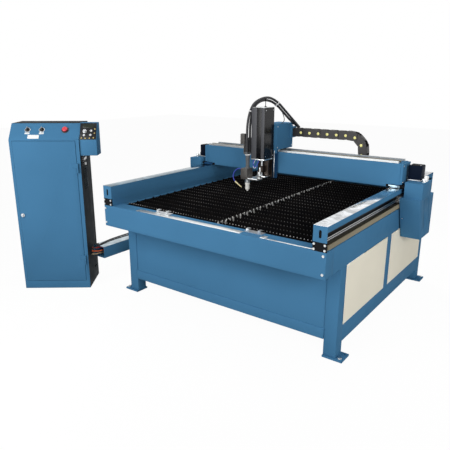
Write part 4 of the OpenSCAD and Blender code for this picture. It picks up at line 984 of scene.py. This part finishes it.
class PLASMA_OT_torch(bpy.types.Operator):
    """Build the torch: barrel, cup, ribbed clamp, hose boots and sensor"""

    bl_idname = "plasma.torch"
    bl_label = "Torch"

    def execute(self, context):
        axis = upright(*TORCH_AT)
        with piece("torch_barrel", "torch_grey", "torch_head", "grey_plastic", ["torch_body"]) as barrel:
            lathe(barrel, [(0, 822), (19.8, 822), (19.8, 908), (17, 912), (15, 914), (15, 966), (17, 968),
                           (17, 1012), (15, 1014), (0, 1014)], axis)
            block(barrel, (558, 908, 1013), (590, 984, 1028), 4, None, 3)
        with piece("torch_ring", "zinc", "torch_head", "grey_plastic") as collars:
            lathe(collars, [(0, 790), (19, 790), (20, 791), (20, 797), (18.4, 798), (18.4, 801), (20, 802),
                            (20, 808), (18.4, 809), (18.4, 812), (20, 813), (20, 821), (0, 822)], axis)
        with piece("torch_clip_ring", "white_plate", "torch_head", "grey_plastic") as clip:
            lathe(clip, [(14.6, 1004), (21.4, 1004), (22, 1004.8), (22, 1012.2), (21.4, 1013),
                         (14.6, 1013), (14.6, 1004)], axis)
        with piece("torch_hose_boots", "hose", "torch_head", "hose_rubber") as boots:
            outline = [(0, 1028), (14.5, 1028)]
            for r, z in zip(row(14.5, -0.35, 9), row(1030, 12, 9)):
                outline += [(r, z), (r, z + 7), (r - 1.6, z + 8), (r - 1.6, z + 11)]
            for y in (926, 966):
                lathe(boots, outline + [(9.4, 1140), (0, 1140)], upright(TORCH_AT[0], y), 20)
        with piece("torch_cup", "ceramic", "torch_head", "pale_nozzle", ["torch_nozzle"]) as cup:
            lathe(cup, [(0, 725), (4.4, 725), (5.4, 726), (6.8, 733), (11, 735), (15.4, 738), (17, 741),
                        (17, 778), (18.4, 780), (19, 782), (19, 789.4), (0, 789.6)], axis, 40)
        self.arm_and_clamp()
        with piece("torch_sensor_case", "clamp", "torch_head", "grey_plastic", ["torch_sensor"]) as case:
            block(case, (516, 925, 1084), (552, 955, 1164), 2.5, None, 3)
            for z in row(1089, 10.4, 7):
                block(case, (513, 923.5, z), (554, 956.5, z + 5), 0.8)
            block(case, (544, 925, 1014), (558, 955, 1020), 1)
            block(case, (544, 925, 1019), (552, 955, 1085), 1)
        return {"FINISHED"}

    @staticmethod
    def arm_and_clamp():
        """The bare bracket, whose end round the torch is dark, and that end's ribs."""
        bm = softened("torch_arm", 1.2 * MM)
        corner = place(CLAMP_END, 0, 0)
        bmesh.ops.bisect_plane(bm, geom=bm.verts[:] + bm.edges[:] + bm.faces[:], plane_co=corner,
                               plane_no=(1, 0, 0), dist=1e-6)
        for face in bm.faces:
            face.material_index = int(face.calc_center_median().x < corner.x)
        arm = finish_piece("torch_arm_bracket", bm, "bright", "torch_head",
                           ["torch_arm"])
        arm.data.materials.append(FINISHES["clamp"])
        with piece("torch_clamp_ribs", "clamp", "torch_head", "machined_aluminium") as ribs:
            for z in row(841, 10.5, 6):
                for x0, y0, x1, y1 in ((534.5, 900.5, 537, 979.5), (537, 900.5, 596, 903),
                                       (537, 977, 596, 979.5), (594, 903, 596, 977)):
                    block(ribs, (x0, y0, z), (x1, y1, z + 5), 0.6)


class PLASMA_OT_carriage_details(bpy.types.Operator):
    """Add the cover's bright rims of painted highlight and its grey bands of painted reflection, the hose
    clips, the stays and the screws of the carriage
    """

    bl_idname = "plasma.carriage_details"
    bl_label = "Carriage details"

    def execute(self, context):
        # The bright rims on the cover's edges and top and the bright post beside it are painted highlights
        with piece("cover_rims", "bright", "carriage", "bright_steel") as rims:
            block(rims, (596.4, 948.4, 972), (716.6, 950.4, 979), 0.6)
            for x in (596.4, 714.6):
                block(rims, (x, 950, 972), (x + 2, 1078, 979), 0.6)
            block(rims, (722, 1077, 826), (728, 1082.4, 1036), 1)
            block(rims, (599, 951, 1360), (714, 1080, 1361.6), 0.5)
        # The grey bands on the cover's front are painted reflections
        with piece("cover_strips", "cover_strip", "carriage", "black_paint") as strips:
            for left, right in ((598.6, 645), (686, 712)):
                block(strips, (left, 948.8, 979.4), (right, 950.2, 1359), 0.5)
        with piece("hood_skirt", "blue", "carriage", "painted_blue") as skirt:
            block(skirt, (600.4, 1082, 1014), (737.6, 1085, 1042), 0.8)
            block(skirt, (734.6, 1084, 1014), (737.6, 1103, 1042), 0.8)
        with piece("slide_foot", "bright", "torch_head", "machined_aluminium") as foot:
            block(foot, (612, 996, 834.6), (700, 1067, 841.6), 1)
            block(foot, (650, 990, 834.6), (657, 996.5, 908), 1)
        with piece("hose_clips", "white_plate", "carriage", "grey_plastic") as clips:
            self.clip(clips, (580.3, 957.7, 1330), (580, 984.9, 1319.3), (5, 19, 48))
            self.clip(clips, (704.5, 1151, 1388), (684.2, 1152.8, 1374), (23, 39, -30))
        with piece("hose_stay", "satin_black", "carriage", "black_paint") as stay:
            for low, high, *facts in ((1359, 1419, 2.6, 0.4, 16), (1359.6, 1366, 9, 1.2, 20),
                                      (1412, 1420, 6, 1.2, 20)):
                rod(stay, place(648, 1062, low), place(648, 1062, high), *facts)
        with piece("carriage_screws", "zinc", "carriage", "bright_steel") as screws:
            for y, z in product((1100, 1318), (1056, 1214)):
                rod(screws, place(738, y, z), place(740.4, y, z), 5, 0.9, 16)
            for z, y in product((1000, 1340), (966, 1066)):
                rod(screws, place(715, y, z), place(717, y, z), 3.6, 0.7, 16)
        return {"FINISHED"}

    @staticmethod
    def clip(bm, hose_a, hose_b, along):
        """A tie round both hoses, given a point of each and the way that they run."""
        hose_a, hose_b, along = place(*hose_a), place(*hose_b), Vector(along).normalized()
        across = hose_b - hose_a
        side = across.cross(along).normalized()
        turn = Matrix((side, along.cross(side), along)).transposed().to_4x4()
        room = 2 * HOSE_RADIUS * MM + 0.005
        plate(bm, (room, across.length + room, 0.008), (0, 0, 0),
              Matrix.Translation((hose_a + hose_b) / 2) @ turn, 2, 9 * MM, 5)


# The gantry's two ends with the paint of their clamp blocks: painted reflection, a pale grey, on the right
# one and painted shade, a darker blue, on the left one
ENDS = {"right": "dull_strip", "left": "navy"}
# The side boxes' fronts lean back as they go down: the way down, and depth and level of the upper edge
BOX_LEAN = Vector((0, 111, -295))
BOX_TOP = (1070, 800)


def end_x(end, x):
    """A place along the beam, given for the gantry's right end, at the end that is named."""
    return x if end == "right" else TABLE_WIDTH - x


def end_block(bm, end, low, high, edge):
    """A block given for the gantry's right end, at the end that is named."""
    left, right = sorted((end_x(end, low[0]), end_x(end, high[0])))
    block(bm, (left, *low[1:]), (right, *high[1:]), edge)


class PLASMA_OT_gantry_details(bpy.types.Operator):
    """Build the gantry motors' caps, the plugs, the clamp blocks and the screws"""

    bl_idname = "plasma.gantry_details"
    bl_label = "Gantry details"

    def execute(self, context):
        finish_piece("gantry_motor_cases", softened("gantry_motors", 3 * MM), "motor", "gantry",
                     ["gantry_motors"])
        for end, paint in ENDS.items():
            with piece("gantry_clamp_block_" + end, paint, "gantry", "bright_steel") as clamp:
                end_block(clamp, end, (1612, 1108, 857.5), (1692, 1126, 875), 2)
                for x in (1630, 1674):
                    rod(clamp, *(place(end_x(end, x), y, 866) for y in (1108, 1104.6)), 5.5, 1, 16)
        with piece("beam_end_plates", "blue", "gantry", "painted_blue") as plates:
            for end in ENDS:
                end_block(plates, end, (1679.6, 1128, 878), (1697, 1288, 1018), 2.5)
        with piece("gantry_motor_flanges", "aluminium", "gantry", "machined_aluminium") as flanges:
            for end in ENDS:
                end_block(flanges, end, (1713, 1188.5, 904.2), (1802, 1277.5, 912), 1.5)
                for x, y in product((1726, 1789), (1201.5, 1264.5)):
                    rod(flanges, *(place(end_x(end, x), y, z) for z in (1008.6, 1011.4)), 4, 0.8, 16)
        with piece("gantry_motor_caps", "satin_black", "gantry", "black_paint") as caps:
            for end in ENDS:
                end_block(caps, end, (1719, 1194.5, 1005), (1796, 1271.5, 1009), 1.4)
        with piece("gantry_plugs", "bright", "gantry", "bright_steel") as plugs:
            for end in ENDS:
                self.plugs_and_screws(plugs, end)
        return {"FINISHED"}

    @staticmethod
    def plugs_and_screws(bm, end):
        """The glands on a drive box, the screws of the beam's end plate and the side box's screw."""
        for x, y, top in ((1826, 1176, 929), (1826, 1214, 939), (1822, 1252, 935)):
            lathe(bm, [(0, 904), (14, 904), (14, 908), (11, 909), (11, 917), (12.5, 918),
                       (12.5, top - 2), (11.5, top), (0, top)], upright(end_x(end, x), y), 24)
        for y, z in product((1144, 1272), (894, 1002)):
            rod(bm, *(place(end_x(end, x), y, z) for x in (1696.6, 1699.6)), 5, 0.9, 16)
        level = 650
        depth = BOX_TOP[0] + (level - BOX_TOP[1]) * BOX_LEAN.y / BOX_LEAN.z
        screw = place(end_x(end, 1724), depth, level)
        out = BOX_LEAN.cross(Vector((1, 0, 0))).normalized() * 0.003
        rod(bm, screw - out * 0.2, screw + out, 3.4, 0.7, 16)


class PLASMA_OT_bed_details(bpy.types.Operator):
    """Lay the bright strips on the apron, the guards and the trough, which are painted reflections, draw
    painted highlights along the rails' races and put plates of painted shade behind the guards' slots
    """

    bl_idname = "plasma.bed_details"
    bl_label = "Bed details"

    def execute(self, context):
        # The bright bars on the apron's top are painted reflections of the light that the top catches
        with piece("apron_wear_strip", "bright", "table", "bright_steel") as strip:
            block(strip, (300, 12, 715), (1150, 58, 716.4), 0.5)
            block(strip, (1288, 12, 715), (1318, 58, 716.2), 0.5)
            block(strip, (1322, 12, 715), (1616, 25, 716.2), 0.5)
        depth = (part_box("rail_guard_right")[1].y - TABLE_CORNER.y) / MM
        # The sheets on the guards' tops are painted reflections, white on the right and grey on the left
        for side, paint, x in (("right", "guard_strip", 1620.8), ("left", "dull_strip", 0.8)):
            with piece("guard_top_strip_" + side, paint, "table", "bright_steel") as top:
                block(top, (x, 0.6, 853), (x + 78.4, depth - 0.6, 854.2), 0.4)
        # The pale sheet on the trough's top is a painted reflection
        with piece("trough_lid_sheet", "lid_sheet", "table", "bright_steel") as lid:
            block(lid, (-365.4, 165.6, 303), (-244.6, 784.4, 304.2), 0.4)
        # The thin bright lines on the side rails are painted highlights where the races catch the light
        with piece("rail_race_lines", "bright", "table", "bright_steel") as races:
            for x, z in product((1688.9, 10.7), (773, 785)):
                block(races, (x, 21, z), (x + 0.4, depth - 21, z + 2), 0.1)
        # The black plates behind the guards' slots are painted shade inside the slots
        with piece("guard_slot_backs", "satin_black", "table", "black_paint") as backs:
            for x, y in product((40, 1660), (5, depth - 8)):
                block(backs, (x - 30, y, 768), (x + 30, y + 3, 849), 0.5)
        return {"FINISHED"}


# Lamps: place, aim and size in metres, power in watts and spread in degrees
LAMPS_ON_STAGE = {
    "key": ((-0.8, -3.0, 1.6), (-0.4, 0.0, 0.6), 2.0, 55.0, 180),
    "fill": ((3.5, -2.7, 1.7), (0.85, 0.3, 0.5), 1.6, 17.0, 70),
    "top": ((0.2, 0.0, 4.6), (0.0, 0.0, 0.6), 3.0, 50.0, 180),
    "back": ((-3.0, 3.4, 2.8), (0.2, 0.6, 0.4), 1.6, 22.0, 60),
}
SENSOR_WIDTH = 36.0
WHITE = linear("#ffffff")
AMBIENT = 0.22
# The floor: its half width in metres, its glow, and the share of the glow where it is seen
FLOOR_REACH = 14.0
FLOOR_GLOW = 1.04
FLOOR_SHARE = 0.93


def seen_rays(tree):
    """One for rays that show the background: from the camera, off gloss and through glass."""
    rays = add_node(tree, "ShaderNodeLightPath").outputs
    some = maths("MAXIMUM", rays["Is Camera Ray"], rays["Is Glossy Ray"])
    return maths("MAXIMUM", some, rays["Is Transmission Ray"])


class PLASMA_OT_stage(bpy.types.Operator):
    """Set up the camera, the studio light and the white floor"""

    bl_idname = "plasma.stage"
    bl_label = "Stage"

    def execute(self, context):
        scene = context.scene
        settings = scene.plasma_stage
        scene.view_settings.view_transform = "Standard"
        lens = bpy.data.cameras.new("camera")
        lens.lens = settings.lens
        lens.sensor_width = SENSOR_WIDTH
        scene.camera = add_object("camera", lens)
        scene.camera.location = settings.camera
        scene.camera.rotation_euler = (settings.tilt, 0.0, settings.turn)
        for name, (at, target, size, power, spread) in LAMPS_ON_STAGE.items():
            light = bpy.data.lights.new(name, "AREA")
            light.size = size
            light.energy = power
            light.spread = math.radians(spread)
            lamp = add_object(name, light)
            lamp.location = at
            lamp.visible_camera = False
            # The back lamp only lifts the far sides and throws no glare off the bare strips
            lamp.visible_glossy = name != "back"
            aim = Vector(target) - Vector(at)
            lamp.rotation_euler = aim.to_track_quat("-Z", "Y").to_euler()
        self.white_world(scene)
        self.white_floor()
        return {"FINISHED"}

    @staticmethod
    def white_world(scene):
        """A white background whose light on the object is weaker than it looks."""
        scene.world = bpy.data.worlds.new("studio")
        tree = empty_tree(scene.world)
        ambient, shown = (add_node(tree, "ShaderNodeBackground", {"Color": WHITE, "Strength": strength})
                          for strength in (AMBIENT, 1.0))
        both = add_node(tree, "ShaderNodeMixShader", {0: seen_rays(tree), 1: ambient.outputs[0],
                                                      2: shown.outputs[0]})
        add_node(tree, "ShaderNodeOutputWorld", {"Surface": both.outputs[0]})

    @staticmethod
    def white_floor():
        """A floor that looks white and still takes soft shadows."""
        material = bpy.data.materials.new("white_floor")
        tree = empty_tree(material)
        paint = add_node(tree, "ShaderNodeBsdfDiffuse", {"Color": linear("#b4b4b4")})
        glow = add_node(tree, "ShaderNodeEmission", {"Color": WHITE, "Strength": FLOOR_GLOW})
        share = maths("MULTIPLY", seen_rays(tree), FLOOR_SHARE)
        both = add_node(tree, "ShaderNodeMixShader", {0: share, 1: paint.outputs[0], 2: glow.outputs[0]})
        add_node(tree, "ShaderNodeOutputMaterial", {"Surface": both.outputs[0]})
        bm = bmesh.new()
        bmesh.ops.create_grid(bm, x_segments=2, y_segments=2, size=FLOOR_REACH)
        floor = add_object("floor", mesh_from("floor", bm, material))


class PLASMA_PT_panel(bpy.types.Panel):
    """Lists the steps that dress the table"""

    bl_idname = "PLASMA_PT_panel"
    bl_label = "Plasma table"
    bl_space_type = "VIEW_3D"
    bl_region_type = "UI"
    bl_category = "Plasma table"

    def draw(self, context):
        for step in STEPS:
            self.layout.operator(step.bl_idname)
        for group in SETTINGS:
            for name in SETTINGS[group].__annotations__:
                self.layout.prop(getattr(context.scene, group), name)


SETTINGS = {"plasma_paint": PaintSettings, "plasma_sizes": SizeSettings, "plasma_stage": StageSettings}
STEPS = [PLASMA_OT_stage, PLASMA_OT_finishes, PLASMA_OT_cords, PLASMA_OT_sheet_metal,
         PLASMA_OT_drag_chains, PLASMA_OT_torch, PLASMA_OT_carriage_details, PLASMA_OT_gantry_details,
         PLASMA_OT_bed_details, PLASMA_OT_controls, PLASMA_OT_cabinet_fittings]


def register():
    for cls in [*SETTINGS.values(), *STEPS, PLASMA_PT_panel]:
        bpy.utils.register_class(cls)
    for name, cls in SETTINGS.items():
        setattr(bpy.types.Scene, name, PointerProperty(type=cls))


def unregister():
    for name in SETTINGS:
        delattr(bpy.types.Scene, name)
    for cls in reversed([*SETTINGS.values(), *STEPS, PLASMA_PT_panel]):
        bpy.utils.unregister_class(cls)


def main():
    register()
    for step in STEPS:
        group, name = step.bl_idname.split(".")
        getattr(getattr(bpy.ops, group), name)()


if __name__ == "__main__":
    main()
